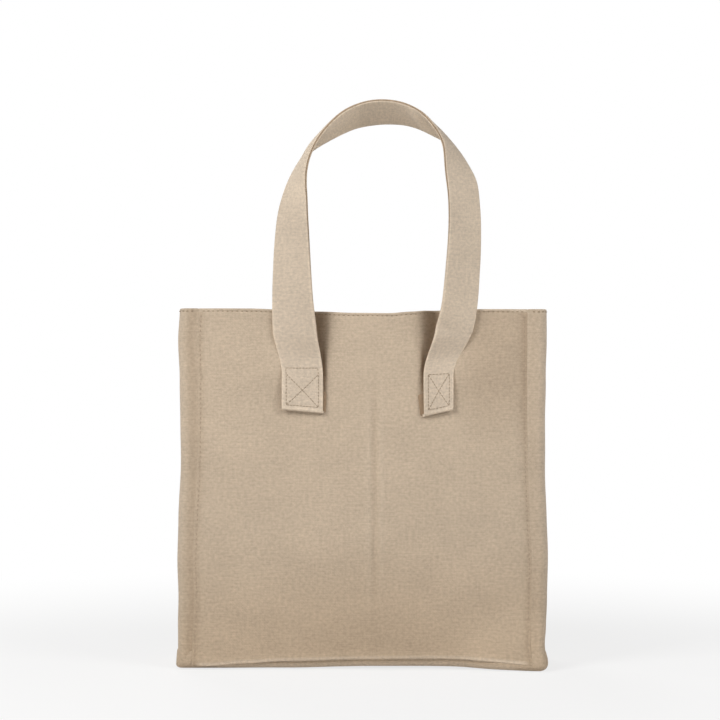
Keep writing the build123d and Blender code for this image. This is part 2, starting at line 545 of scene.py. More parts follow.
@dataclass
class StitchWork:
    """Rows of lock stitches, each a copy of one stitch that is modelled once."""

    name: str
    length: float = 3.3
    pitch: float = 4.6
    thread: float = 0.75
    sink: float = 0.95
    sides: int = 6
    rings: tuple[float, ...] = (0.14, 0.34, 0.5, 0.66, 0.86)
    end_slim: float = 0.55
    slim_power: float = 3.0
    dip_power: float = 2.4
    points: list[Vector] = field(default_factory=list)
    faces: list[Face] = field(default_factory=list)
    stitch: list[Vector] = field(init=False)
    stitch_faces: list[Face] = field(init=False)

    def __post_init__(self) -> None:
        """Models the stitch that the rows repeat."""
        self.stitch, self.stitch_faces = self.model_stitch()

    def model_stitch(self) -> tuple[list[Vector], list[Face]]:
        """Models one stitch along X: a short cylinder, cut into rings, that dips at both ends.

        Returns:
            Its vertices in millimetres, and its faces.
        """
        bpy.ops.object.select_all(action="DESELECT")
        bpy.ops.mesh.primitive_cylinder_add(
            vertices=self.sides,
            radius=self.thread / 2,
            depth=self.length,
            rotation=(0, math.pi / 2, 0),
        )
        model = bpy.context.object
        bpy.ops.object.transform_apply(location=True, rotation=True, scale=True)
        bpy.ops.object.mode_set(mode="EDIT")
        for share in self.rings:
            bpy.ops.mesh.select_all(action="SELECT")
            bpy.ops.mesh.bisect(plane_co=((share - 0.5) * self.length, 0, 0), plane_no=(1, 0, 0))
        bpy.ops.object.mode_set(mode="OBJECT")
        points = []
        for vertex in model.data.vertices:
            share = abs(vertex.co.x) / self.length * 2
            slim = 1 - self.end_slim * share**self.slim_power
            dip = self.thread * self.sink * share**self.dip_power
            points.append(Vector((vertex.co.x, vertex.co.y * slim, vertex.co.z * slim - dip)))
        faces = [tuple(face.vertices) for face in model.data.polygons]
        mesh = model.data
        bpy.data.objects.remove(model)
        bpy.data.meshes.remove(mesh)
        return points, faces

    def sew(self, path: Sequence[Vector], outward: Callable[[Vector], Vector]) -> None:
        """Adds a row of stitches along a path.

        Args:
            path: points on the cloth's face, in millimetres, close together.
            outward: gives the direction out of the cloth, from the direction along the path.
        """
        reached = distances(path)
        count = max(1, round(reached[-1] / self.pitch))
        pitch = reached[-1] / count
        for number in range(count):
            self.place((number + 0.5) * pitch, path, reached, outward)

    def place(
        self,
        middle: float,
        path: Sequence[Vector],
        reached: Sequence[float],
        outward: Callable[[Vector], Vector],
    ) -> None:
        """Copies the stitch to one place on a path.

        Args:
            middle: distance along the path of the stitch's middle.
            path: points of the path.
            reached: distance along the path of each of its points.
            outward: gives the direction out of the cloth, from the direction along the path.
        """
        index = next(i for i in range(len(path) - 1) if middle <= reached[i + 1] or i == len(path) - 2)
        span = reached[index + 1] - reached[index]
        at = path[index].lerp(path[index + 1], (middle - reached[index]) / span)
        along = (path[index + 1] - path[index]).normalized()
        beside = outward(along).cross(along).normalized()
        out = along.cross(beside)
        first = len(self.points)
        for point in self.stitch:
            self.points.append(at + along * point.x + beside * point.y + out * point.z)
        self.faces += [tuple(first + corner for corner in face) for face in self.stitch_faces]

    def piece(self, finish: bpy.types.Material) -> bpy.types.Object:
        """Makes the stitch work on the bag's body.

        Args:
            finish: the thread's material.

        Returns:
            The new object.
        """
        piece = add_piece(self.name, self.points, self.faces)
        piece.data.materials.append(finish)
        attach(piece, "bag")
        LOG.info("%s: %d stitches", self.name, len(self.points) // len(self.stitch))
        return piece


@dataclass
class BagForm:
    """The bag's shape: the frame's sizes, and how the empty cloth sags away from them."""

    canvas: float = 1.2
    fold_radius: float = 10.0
    left_drift: Pairs = (
        (0, 3.6), (20, 3.1), (38, 2.4), (66, 1.2), (104, 3.0), (143, 2.0), (190, 0.0), (238, 0.4),
        (276, 1.0), (314, 2.8), (344, 1.1),
    )
    right_drift: Pairs = (
        (0, 1.4), (9, 1.2), (18, -0.2), (26, -0.8), (38, 0.4), (66, 2.0), (104, 3.0), (143, 1.4),
        (190, 0.5), (238, 0.7), (276, 1.5), (314, 2.2), (344, 2.4),
    )
    mouth_drop: Pairs = (
        (-165, -0.8), (-110, -0.6), (-48, 2.0), (-8, 3.6), (26, 3.9), (46, 2.4), (62, 1.4), (110, 0.0),
    )
    front_lift: Pairs = ((-150, 0.6), (-70, 1.0), (10, 2.6), (85, 2.6), (130, 0.6), (165, 0.0))
    drift_start: float = 0.62
    drop_low: float = 240.0
    lift_top: float = 30.0
    corner_kick: float = 20.0
    kick_start: float = 60.0
    kick_top: float = 60.0
    face_start: float = 0.3
    hold_start: float = 0.75
    belly: float = 8.0
    belly_height: float = 130.0
    belly_spread: float = 150.0
    belly_power: float = 2.2
    belly_top: float = 1.3
    mouth_swell: float = 1.5
    mouth_place: float = 10.0
    mouth_spread: float = 40.0
    mouth_low: float = 230.0
    crease_place: float = 12.4
    crease_width: float = 3.2
    crease_depth: float = 1.2
    crease_spread: float = 0.9
    ridge_height: float = 0.75
    ridge_place: float = 2.0
    valley_depth: float = 0.9
    crease_foot: Span = (25, 130)
    crease_head: Span = (325, 205)
    wrinkle: float = 1.0
    wrinkle_size: Span = (46, 64)
    wrinkle_seed: float = 7.0
    fine_wrinkle: float = 0.3
    fine_wrinkle_size: Span = (19, 27)
    fine_wrinkle_seed: float = 3.0
    dimples: Pairs = ((-38.5, -48.0), (58.5, 72.0))
    dimple_low: float = 258.0
    dimple_rise: float = 8.0
    dimple_top: float = 14.0
    dimple_end: float = 10.0
    dimple_depth: float = 14.0
    dimple_slot: float = 4.0
    dimple_inside: float = 11.5
    dimple_outside: float = 16.0
    half_width: float = field(init=False)
    base_rim: float = field(init=False)
    height: float = field(init=False)
    panel_half: float = field(init=False)
    panel_low: float = field(init=False)
    low_depth: float = field(init=False)
    mouth_depth: float = field(init=False)
    hem_depth: float = field(init=False)

    def __post_init__(self) -> None:
        """Reads the body's sizes from the frame."""
        low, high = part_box("front_panel")
        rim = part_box("base_panel")[1]
        self.half_width = rim.x / MM
        self.base_rim = rim.z / MM
        self.height = high.z / MM
        self.panel_half = high.x / MM
        self.panel_low = low.z / MM
        self.low_depth = -low.y / MM
        self.mouth_depth = -high.y / MM + self.canvas
        self.hem_depth = self.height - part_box("front_hem")[0].z / MM

    def half_depth(self, height: float) -> float:
        """Distance from the middle of the bag to a panel's outer face at one height."""
        share = (height - self.panel_low) / (self.height - self.panel_low)
        return self.low_depth + (self.mouth_depth - self.low_depth) * share

    def crease(self, across: float, height: float) -> float:
        """Shape of the pressed line down the middle of the front panel.

        Args:
            across: place across the panel.
            height: height above the floor.

        Returns:
            Relief there, from -0.9 in the valley to about 0.7 on the ridges beside it.
        """
        share = (across - self.crease_place) / self.crease_width
        spread = self.crease_spread
        ridges = bell(-self.ridge_place, spread, share) + bell(self.ridge_place, spread, share)
        profile = self.ridge_height * ridges - self.valley_depth * bell(0, spread, share)
        return profile * smooth(*self.crease_foot, height) * smooth(*self.crease_head, height)

    def mouth_fall(self, across: float, height: float) -> float:
        """How far a panel falls back towards the mouth, beside the inner edges of its straps.

        Args:
            across: place across the panel, to the right as seen from outside.
            height: height above the floor.

        Returns:
            The distance inward.
        """
        rise = smooth(self.dimple_low + self.dimple_rise, self.height - self.dimple_top, height)
        inside = self.dimple_slot + (self.dimple_inside - self.dimple_slot) * rise
        fall = 0.0
        for low, high in self.dimples:
            place = low + (high - low) * rise
            outside = math.copysign(across - place, (across - place) * place)
            fall += bell(0, self.dimple_outside if outside > 0 else inside, outside)
        return self.dimple_depth * fall * smooth(self.dimple_low, self.height - self.dimple_end, height)

    def swell(self, side: Side, across: float, height: float) -> float:
        """How far a panel stands out from its flat place.

        Args:
            side: which panel.
            across: place across the panel.
            height: height above the floor.

        Returns:
            The distance outward.
        """
        hold = smooth(self.half_width, self.hold_start * self.half_width, abs(across))
        below = min(max((self.belly_height - height) / self.belly_height, 0.0), 1.0)
        belly = self.belly * bell(0, self.belly_spread, across) * (1 - below**self.belly_power)
        belly *= smooth(self.height, self.belly_top * self.belly_height, height)
        mouth = self.mouth_swell * bell(self.mouth_place, self.mouth_spread, across)
        mouth *= smooth(self.mouth_low, self.height, height)
        mouth -= self.mouth_fall(-side.value * across, height)
        wide, tall = self.wrinkle_size
        place = Vector((across / wide, self.wrinkle_seed * side.value, height / tall))
        wide, tall = self.fine_wrinkle_size
        fine = Vector((across / wide, self.fine_wrinkle_seed * side.value, height / tall))
        wrinkles = self.wrinkle * (noise.noise(place) + self.fine_wrinkle * noise.noise(fine))
        crease = self.crease(across, height) if side is Side.FRONT else 0.0
        return hold * (belly + mouth + wrinkles) + self.crease_depth * crease

    def sag(self, point: Vector) -> Vector:
        """Moves a point of the flat-sided bag to where the cloth has sagged.

        Args:
            point: a point in millimetres.

        Returns:
            The sagged point.
        """
        side = Side.FRONT if point.y < 0 else Side.BACK
        faced = smooth(self.face_start, 1.0, abs(point.y) / self.half_depth(point.z))
        drift = eased(self.left_drift if point.x < 0 else self.right_drift, point.z)
        drift *= smooth(self.drift_start * self.half_width, self.half_width, abs(point.x))
        drop = eased(self.mouth_drop, point.x) * smooth(self.drop_low, self.height, point.z) * faced
        lift = eased(self.front_lift, point.x) * smooth(self.lift_top, 0, point.z) * faced * (point.y < 0)
        kick = self.corner_kick * smooth(self.kick_start, self.half_width, point.x)
        kick *= smooth(self.kick_top, 0, point.z)
        swell = (self.swell(side, point.x, point.z) + kick * (point.y < 0)) * faced
        return Vector((
            point.x + drift * math.copysign(1.0, point.x),
            point.y + side.value * swell,
            point.z - drop + lift,
        ))


@dataclass
class PanelSheet:
    """Front or back panel, turned in at the top and lapped over both gussets."""

    form: BagForm
    side: Side
    seam_spread: float = 4.0
    low_edge: Pairs = (
        (-165, 3.4), (-147, 2.6), (-110, 5.2), (-72, 7.4), (0, 8.0), (90, 8.6), (115, 8.2), (165, 6.0),
    )
    side_relief: Pairs = ((0, -1.05), (2.8, -0.95), (6.0, -0.2), (11, 0.45), (26, 0.0))
    low_relief: Pairs = ((0, 0.4), (1.2, 1.2), (3.5, 1.3), (9.0, 0.3), (20, 0.0))
    flush_relief: Pairs = ((0, -1.25), (6.0, -1.0), (22, 0.0))
    top_relief: Pairs = ((0, 0.6), (1.2, 0.6), (2.7, -0.1), (5.5, 0.3), (14, 0.0))
    rim_shown: Span = (140, 108)
    # Painted highlight along the lower edge; painted shade at the seams, in the upper right corner, the strap
    # pockets and slots, low in the middle and along the crease.
    edge_rub: Span = (4.6, 1.6)
    seam_shade: float = 0.22
    seam_place: float = 2.6
    seam_soften: float = 4.0
    corner_shade: float = 0.25
    corner_across: Span = (75, 115)
    corner_height: Span = (190, 280)
    pocket_shade: float = 0.5
    slots: Pairs = ((-36.6, 0.9), (57.2, 0.95))
    slot_width: float = 1.7
    slot_foot: Span = (260, 267)
    slot_head: Span = (318, 292)
    belly_shade: float = 0.12
    belly_across: float = 90.0
    belly_height: Span = (150, 40)
    crease_shade: float = 0.1
    hem_fold: float = 0.75
    seam_hem_fold: float = 2.2
    seam_hem: Span = (138, 147)
    hem_rub: float = 0.2
    fine_column: float = 1.0
    fine_row: float = 0.8
    fine_hem_row: float = 2.0
    coarse: float = 5.2
    fold_steps: int = 6
    top_stitch: float = 2.7
    seam_stitch: float = 2.8
    stitch_lift: float = 0.1
    sewn_steps: int = 70

    def half_width(self, height: float) -> float:
        """Distance from the middle to the panel's side edge at one height."""
        return self.form.panel_half + self.seam_spread * smooth(self.form.height, 40, height)

    def relief(self, across: float, height: float) -> float:
        """How far turned edges and stitching raise the panel's face.

        Args:
            across: place across the panel.
            height: height above the floor.

        Returns:
            The distance outward.
        """
        above = height - eased(self.low_edge, across)
        shown = smooth(*self.rim_shown, -self.side.value * across)
        low = shown * eased(self.low_relief, above) + (1 - shown) * eased(self.flush_relief, above)
        side = eased(self.side_relief, self.half_width(height) - abs(across))
        top = eased(self.top_relief, self.form.height - height)
        return max(side + low, -self.form.canvas) + top

    def rub(self, across: float, height: float) -> float:
        """Painted light on the panel: a painted highlight along its lower edge and on the crease ridges, and
        painted shade at the seams, in the upper right corner, the strap pockets and slots, low in the middle
        and in the crease valley.

        Args:
            across: place across the panel.
            height: height above the floor.

        Returns:
            The painted light, below 0 where shade is painted.
        """
        seam = bell(self.seam_place, self.seam_soften, self.half_width(height) - abs(across))
        edge = smooth(*self.edge_rub, height - eased(self.low_edge, across)) * (1 - seam)
        if self.side is Side.BACK:
            return edge - self.seam_shade * seam
        # Painted shade in the upper right corner, the strap pockets, the slots beside the straps' inner edges
        # and low in the middle; the crease gets painted shade in its valley and a painted highlight on its
        # ridges.
        corner = smooth(*self.corner_across, across) * smooth(*self.corner_height, height)
        pocket = self.form.mouth_fall(across, height) / self.form.dimple_depth
        belly = bell(0, self.belly_across, across) * smooth(*self.belly_height, height)
        slot = sum(shade * bell(place, self.slot_width, across) for place, shade in self.slots)
        slot *= smooth(*self.slot_foot, height) * smooth(*self.slot_head, height)
        dark = self.seam_shade * seam + self.corner_shade * corner + slot
        dark += self.pocket_shade * pocket + self.belly_shade * belly
        return edge - dark + self.crease_shade * self.form.crease(across, height)

    def hem_radius(self, across: float) -> float:
        """Radius of the turned top edge, which is larger where it goes over a gusset."""
        return self.hem_fold + (self.seam_hem_fold - self.hem_fold) * smooth(*self.seam_hem, abs(across))

    def face_point(self, across: float, height: float, out: float = 0.0) -> Vector:
        """Point on the panel's outer face, or at a distance out from it.

        Args:
            across: place across, along X.
            height: height above the floor.
            out: distance outward from the face.

        Returns:
            The sagged point.
        """
        depth = self.form.half_depth(height) + self.relief(across, height) + out
        return self.form.sag(Vector((across, self.side.value * depth, height)))

    def grid(self) -> ClothGrid:
        """Lays the panel's ply from its lower edge over the top and down inside.

        Returns:
            The grid, row by row.
        """
        form = self.form
        fine_places = [-form.panel_half, form.crease_place, form.panel_half]
        fine_places += [-self.side.value * low for low, high in form.dimples]
        columns = graded(-form.panel_half, form.panel_half, fine_places, self.fine_column, self.coarse)
        heights = graded(0.0, form.height, [0.0, form.height], self.fine_row, self.coarse)
        grid = ClothGrid()
        for height in heights[:-1]:
            grid.add([self.face_spot(column, height / form.height) for column in columns])
        for step in range(self.fold_steps + 1):
            turn = math.pi * step / self.fold_steps
            grid.add([self.hem_spot(column, turn, 0.0) for column in columns])
        for drop in graded(0.0, form.hem_depth, [0.0], self.fine_hem_row, self.coarse)[1:]:
            grid.add([self.hem_spot(column, math.pi, drop) for column in columns])
        return grid

    def face_spot(self, column: float, share: float) -> ClothPoint:
        """Point of the panel's face below its turned top edge.

        Args:
            column: place across the flat panel.
            share: how far up the face it is, from 0 to 1.

        Returns:
            The point, its place on the flat cloth and its rub.
        """
        form = self.form
        low = eased(self.low_edge, column)
        top = form.height - form.canvas / 2 - self.hem_radius(column)
        height = low + (top - low) * share
        across = column / form.panel_half * self.half_width(height)
        point = self.face_point(across, height, -form.canvas / 2)
        return point, (column + form.half_width, height), self.rub(across, height)

    def hem_spot(self, column: float, turn: float, drop: float) -> ClothPoint:
        """Point of the turned-in top edge.

        Args:
            column: place across the flat panel.
            turn: how far the ply has turned over the top edge, in radians.
            drop: how far it has gone down inside.

        Returns:
            The point, its place on the flat cloth and its rub.
        """
        form = self.form
        radius = self.hem_radius(column)
        top = form.height - radius - form.canvas / 2
        height = top + radius * math.sin(turn) - drop
        out = self.relief(column, top) * (1 + math.cos(turn)) / 2 - form.canvas / 2
        depth = form.half_depth(height) + out - radius * (1 - math.cos(turn))
        point = form.sag(Vector((column, self.side.value * depth, height)))
        place = (column + form.half_width, form.height + drop + radius * turn)
        return point, place, self.hem_rub * math.sin(turn)

    def build(
        self, canvas: bpy.types.Material, hem_thread: bpy.types.Material, seam_thread: bpy.types.Material
    ) -> None:
        """Makes the panel and its stitching.

        Args:
            canvas: the cloth's material.
            hem_thread: material of the thread along the top edge.
            seam_thread: material of the thread down the side seams.
        """
        word = self.side.word
        panel = self.grid().piece(f"{word}_panel_cloth", self.form.canvas, self.side is Side.BACK)
        panel.data.materials.append(canvas)
        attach(panel, "bag")
        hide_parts(f"{word}_panel", f"{word}_hem")
        stitches = [self.sew_hem(hem_thread), self.sew_seams(seam_thread)]
        LOG.info("%s: %d points", panel.name, len(panel.data.vertices))

    def sew_hem(self, thread: bpy.types.Material) -> bpy.types.Object:
        """Sews the turned top edge.

        Args:
            thread: the thread's material.

        Returns:
            The stitch work.
        """
        work = StitchWork(f"{self.side.word}_hem_stitches")
        reach = self.half_width(self.form.height) - self.seam_stitch
        height = self.form.height - self.top_stitch
        shares = [step / self.sewn_steps for step in range(self.sewn_steps + 1)]
        path = [self.face_point(reach * (2 * share - 1), height, self.stitch_lift) for share in shares]
        work.sew(path, self.side.outward)
        return work.piece(thread)

    def sew_seams(self, thread: bpy.types.Material) -> bpy.types.Object:
        """Sews both side seams.

        Args:
            thread: the thread's material.

        Returns:
            The stitch work.
        """
        work = StitchWork(f"{self.side.word}_seam_stitches")
        high = self.form.height - 2 * self.top_stitch
        for direction in (-1, 1):
            low = eased(self.low_edge, direction * self.form.panel_half) + self.seam_stitch
            path = []
            for step in range(self.sewn_steps + 1):
                height = low + (high - low) * step / self.sewn_steps
                across = direction * (self.half_width(height) - self.seam_stitch)
                path.append(self.face_point(across, height, self.stitch_lift))
            work.sew(path, self.side.outward)
        return work.piece(thread)


@dataclass
class GussetSheet:
    """Side gusset that laps behind both panels, rounds two folds and tucks in towards the mouth."""

    form: BagForm
    direction: int
    tuck: float = 58.0
    tuck_base: float = 1.0
    tuck_growth: float = 1.6
    flange_edge: float = 144.0
    low_edge: float = 10.0
    base_inset: float = 0.9
    base_ease: float = 24.0
    base_tuck: float = 4.0
    flange_drop: float = 3.0
    flange_ease: Span = (0.5, 4.5)
    fold_bulge: float = 1.0
    fold_place: float = 169.0
    fold_spread: float = 6.0
    fold_face: Span = (0.6, 0.95)
    # Painted highlight on the rounded outer fold.
    fold_rub: float = 0.25
    fold_rub_place: float = 1.5
    fold_rub_spread: float = 4.0
    seam_place: float = 5.0
    seam_spread: float = 6.5
    hem_fold: float = 0.75
    hem_rub: float = 0.2
    hem_steps: int = 6
    hem_ease: Span = (40, 5)
    top_row: float = 2.0
    fine_row: float = 1.5
    coarse_row: float = 6.0
    fold_steps: int = 6
    flange_spans: int = 8
    round_spans: int = 7
    tuck_spans: int = 14
    top_stitch: float = 2.7
    stitch_start: float = 3.0
    stitch_lift: float = 0.1
    pucker: float = 0.8
    pucker_size: tuple[float, float, float] = (30, 24, 38)
    pucker_seed: float = 5.0
    pucker_ease: Span = (4, 6)
    left_shade: float = 0.3
    right_shade: float = 0.1

    @property
    def word(self) -> str:
        """Name of the gusset's side."""
        return "left" if self.direction < 0 else "right"

    def path(self, height: float, inset: float) -> list[Vector]:
        """Points of the ply from its front flange round to its back one, level at one height.

        Args:
            height: height above the floor.
            inset: distance inside the gusset's outer face.

        Returns:
            The points, before they sag, on the right of the bag.
        """
        form = self.form
        share = max(0.0, height - form.base_rim) / (form.height - form.base_rim)
        tuck = math.radians(self.tuck_base + (self.tuck - self.tuck_base) * share**self.tuck_growth)
        above, below = form.base_rim + self.base_ease, form.base_rim - self.base_tuck
        inset += self.base_inset * smooth(above, below, height)
        reach = form.half_depth(height) - form.canvas - inset
        radius = form.fold_radius - inset
        fold_x = form.half_width - form.fold_radius
        fold_y = radius - reach
        front = []
        for i in range(self.flange_spans):
            front.append((self.flange_edge + (fold_x - self.flange_edge) * i / self.flange_spans, -reach))
        for i in range(self.round_spans + 1):
            angle = (tuck + math.pi / 2) * i / self.round_spans - math.pi / 2
            front.append((fold_x + radius * math.cos(angle), fold_y + radius * math.sin(angle)))
        tuck_radius = -front[-1][1] / math.sin(tuck)
        centre = front[-1][0] + tuck_radius * math.cos(tuck)
        for i in range(1, self.tuck_spans):
            angle = tuck * (1 - i / self.tuck_spans)
            front.append((centre - tuck_radius * math.cos(angle), -tuck_radius * math.sin(angle)))
        points = front + [(centre - tuck_radius, 0.0)] + [(x, -y) for x, y in reversed(front)]
        return [Vector((x, y, height)) for x, y in points]

    def settled(self, point: Vector, top: float) -> Vector:
        """Sags a point of the path, with the flanges kept under the panels' turned edge.

        Args:
            point: a point of the path.
            top: how far up the gusset it is, from 0 to 1.

        Returns:
            The point on the gusset's own side.
        """
        form = self.form
        near, far = self.flange_ease
        flange = smooth(form.panel_half - near, form.panel_half - far, point.x)
        wide, deep, tall = self.pucker_size
        place = Vector((point.x / wide, point.y / deep + self.pucker_seed * self.direction, point.z / tall))
        near, far = self.pucker_ease
        free = smooth(form.panel_half + near, form.half_width - far, point.x)
        pucker = self.pucker * noise.noise(place) * free
        height = point.z - flange * self.flange_drop * top
        faced = smooth(*self.fold_face, abs(point.y) / form.half_depth(point.z))
        bulge = self.fold_bulge * bell(self.fold_place, self.fold_spread, point.x) * faced
        depth = point.y + math.copysign(bulge, point.y)
        return form.sag(Vector((self.direction * (point.x + pucker), depth, height)))

    def rub(self, point: Vector) -> float:
        """Painted highlight on the gusset's outer fold, and painted shade beside the seams.

        Args:
            point: a point of the path.

        Returns:
            The painted light, below 0 where shade is painted.
        """
        fold = bell(self.form.half_width - self.fold_rub_place, self.fold_rub_spread, point.x)
        seam = bell(self.form.panel_half + self.seam_place, self.seam_spread, point.x)
        shade = self.left_shade if self.direction < 0 else self.right_shade
        return self.fold_rub * fold - shade * seam

    def outward(self, along: Vector) -> Vector:
        """Direction out of the gusset where its path runs along a direction."""
        return along.cross(Vector((0, 0, self.direction)))

    def grid(self) -> ClothGrid:
        """Lays the gusset's ply from behind the base's rim over the top and down inside.

        Returns:
            The grid, row by row.
        """
        form = self.form
        middle = form.canvas / 2
        high = form.height - self.top_row
        steps = graded(self.low_edge, high, [form.height], self.fine_row, self.coarse_row)
        levels = [(height, middle, height, 0.0) for height in steps]
        for step in range(self.fold_steps + 1):
            turn = math.pi * step / self.fold_steps
            height = form.height - self.hem_fold * (1 - math.sin(turn)) - middle
            inset = middle + self.hem_fold * (1 - math.cos(turn))
            levels.append((height, inset, form.height + self.hem_fold * turn, math.sin(turn)))
        for step in range(1, self.hem_steps + 1):
            drop = form.hem_depth * step / self.hem_steps
            levels.append((form.height - drop, middle + 2 * self.hem_fold, form.height + drop, 0.0))
        below, above = (form.height - distance for distance in self.hem_ease)
        grid = ClothGrid()
        for height, inset, flat_height, turned in levels:
            path = self.path(height, inset)
            top = smooth(below, above, height)
            grid.add([
                (self.settled(point, top), (gone, flat_height), self.rub(point) + self.hem_rub * turned)
                for point, gone in zip(path, distances(path))
            ])
        return grid

    def build(self, canvas: bpy.types.Material, thread: bpy.types.Material) -> None:
        """Makes the gusset and the stitching of its top edge.

        Args:
            canvas: the cloth's material.
            thread: the thread's material.
        """
        form = self.form
        grid = self.grid()
        gusset = grid.piece(f"{self.word}_gusset_cloth", form.canvas, self.direction < 0)
        gusset.data.materials.append(canvas)
        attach(gusset, "bag")
        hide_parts(f"{self.word}_gusset", f"{self.word}_hem")
        work = StitchWork(f"{self.word}_gusset_stitches")
        path = self.path(form.height - self.top_stitch, -self.stitch_lift)
        shown = [point for point in path if point.x > form.panel_half + self.stitch_start]
        work.sew([self.settled(point, 1.0) for point in shown], self.outward)
        stitches = work.piece(thread)
        LOG.info("%s: %d points", gusset.name, len(gusset.data.vertices))


class TrayLevel(NamedTuple):
    """One level of the base's tray: inset, height, painted light, and inset on the flat cloth."""

    inset: float
    height: float
    rub: float
    laid: float


@dataclass
class BaseSheet:
    """Base panel: a tray with a rolled edge, whose rim stands inside the panels."""

    form: BagForm
    edge_radius: float = 6.0
    long_spans: int = 44
    round_spans: int = 5
    short_spans: int = 10
    roll_spans: int = 5
    rim_spans: int = 4
    floor_insets: tuple[float, ...] = (6.0, 12.0, 22.0, 34.0, 45.5)
    left_swell: float = 0.3
    right_swell: float = 0.7
    swell_end: float = 6.0
    swell_rise: float = 8.0
    left_toe: float = 2.5
    toe_across: Span = (-150, -168)
    least_radius: float = 0.2
    rim_lean: float = 0.6
    # Painted light on the rolled edge and rim, which face the floor, fading out towards the ends.
    rim_rub: float = 0.8
    rub_fade: float = 20.0
    half_depth: float = field(init=False)

    def __post_init__(self) -> None:
        """Reads the base's depth from the frame."""
        self.half_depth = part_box("base_panel")[1].y / MM

    def ring(self, inset: float, height: float) -> list[Vector]:
        """Points round the tray, inset from its outer face.

        Args:
            inset: distance inside the outer face.
            height: height above the floor.

        Returns:
            The points, before they sag, counter-clockwise from above.
        """
        form = self.form
        radius = max(form.fold_radius - inset, self.least_radius)
        reach_x = form.half_width - inset - radius
        reach_y = self.half_depth - inset - radius
        corners = [(1, -1), (1, 1), (-1, 1), (-1, -1)]
        points = []
        for quarter, (side_x, side_y) in enumerate(corners):
            centre = Vector((side_x * reach_x, side_y * reach_y, height))
            next_x, next_y = corners[(quarter + 1) % 4]
            for i in range(self.round_spans + 1):
                angle = math.pi / 2 * (quarter - 1 + i / self.round_spans)
                points.append(centre + Vector((math.cos(angle), math.sin(angle), 0)) * radius)
            along = Vector((next_x * reach_x, next_y * reach_y, height)) - centre
            spans = self.short_spans if quarter % 2 == 0 else self.long_spans
            points += [points[-1] + along * i / spans for i in range(1, spans)]
        return points

    def settled(self, point: Vector) -> Vector:
        """Sags a point of the tray and swells its two ends over the gussets.

        Args:
            point: a point of the tray.

        Returns:
            The settled point.
        """
        form = self.form
        ended = smooth(form.panel_half, form.half_width - self.swell_end, abs(point.x))
        swell = self.left_swell if point.x < 0 else self.right_swell
        swell *= ended * smooth(0, self.swell_rise, point.z)
        toe = self.left_toe * smooth(*self.toe_across, point.x) * smooth(self.edge_radius, 0, point.z)
        return form.sag(point) + Vector((math.copysign(swell, point.x) - toe, 0, 0))

    def levels(self) -> list[TrayLevel]:
        """Levels of the tray's floor, rolled edge and rim.

        Returns:
            The levels, from the middle of the floor outward and up.
        """
        middle = self.form.canvas / 2
        radius = self.edge_radius - middle
        levels = [TrayLevel(inset, middle, 0.0, inset) for inset in reversed(self.floor_insets)]
        for step in range(1, self.roll_spans + 1):
            turn = math.pi / 2 * step / self.roll_spans
            levels.append(TrayLevel(
                self.edge_radius - radius * math.sin(turn),
                self.edge_radius - radius * math.cos(turn),
                self.rim_rub * math.sin(2 * turn),
                self.edge_radius - radius * turn,
            ))
        for step in range(1, self.rim_spans + 1):
            rise = (self.form.base_rim - self.edge_radius) * step / self.rim_spans
            lean = self.rim_lean * (step / self.rim_spans) ** 2
            laid = self.edge_radius - radius * math.pi / 2 - rise
            levels.append(TrayLevel(middle + lean, self.edge_radius + rise, self.rim_rub, laid))
        return levels

    def build(self, canvas: bpy.types.Material) -> None:
        """Makes the base.

        Args:
            canvas: the cloth's material.
        """
        form = self.form
        points, flat, rubs, faces = [], [], [], []
        count = len(self.ring(0.0, 0.0))
        for number, level in enumerate(self.levels()):
            cut = self.ring(level.laid, 0.0)
            for index, point in enumerate(self.ring(level.inset, level.height)):
                points.append(self.settled(point))
                flat.append((cut[index].x + form.half_width, cut[index].y + self.half_depth))
                shown = smooth(form.panel_half, form.panel_half - self.rub_fade, abs(point.x))
                rubs.append(level.rub * shown)
                if number:
                    other = (index + 1) % count
                    low = (number - 1) * count
                    faces.append((low + index, low + other, low + count + other, low + count + index))
        faces.append(tuple(reversed(range(count))))
        base = add_piece("base_panel_cloth", points, [face[::-1] for face in faces])
        lay_cloth(base, [[flat[corner] for corner in face[::-1]] for face in faces])
        mark_rub(base, rubs)
        soften(base, form.canvas)
        base.data.materials.append(canvas)
        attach(base, "bag")
        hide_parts("base_panel")
        rise = 2 * (form.base_rim - form.canvas / 2)
        size = ((2 * form.half_width + rise) * MM, (2 * self.half_depth + rise) * MM)
        LOG.info("%s: %d points", base.name, len(base.data.vertices))


@dataclass
class StrapRow:
    """One place along a strap: its middle, the directions of its width and length, and its sizes."""

    middle: Vector
    across: Vector
    along: Vector
    width: float
    thickness: float
    rub: float = 0.0
    station: float = -9.0

    def facing(self) -> Vector:
        """Direction out of the strap's face."""
        return self.across.cross(self.along).normalized()

    def moved(self, turn: Matrix) -> "StrapRow":
        """The same row after a turn about a hinge."""
        spin = turn.to_3x3()
        return replace(self, middle=turn @ self.middle, across=spin @ self.across, along=spin @ self.along)

    def reversed(self) -> "StrapRow":
        """The same row for a strap that runs the other way."""
        return replace(self, across=-self.across, along=-self.along)


@dataclass(frozen=True)
class SewnEnd:
    """How one end of a strap lies where it is sewn down."""

    middle: float
    width: float
    fold_tilt: float
    neck_width: float
    box_top: float
    cross_drop: float = 0.0
    tuck_shift: float = 0.0
    drop: float = 0.0
    lean: float = 0.0


@dataclass(frozen=True)
class CrossFold:
    """A soft fold that runs slantwise over a strap."""

    station: float
    lean: float
    height: float
    spread: float


class Station(NamedTuple):
    """A place on a handle's route: shares of half the spacing and of the rise, roll in degrees, stand-off."""

    across: float
    up: float
    roll: float
    stand_off: float


class EdgePoint(NamedTuple):
    """A point of a strap's cross-section: shares of half its width and half its thickness, and its painted
    light and wear.
    """

    across: float
    face: float
    rub: float


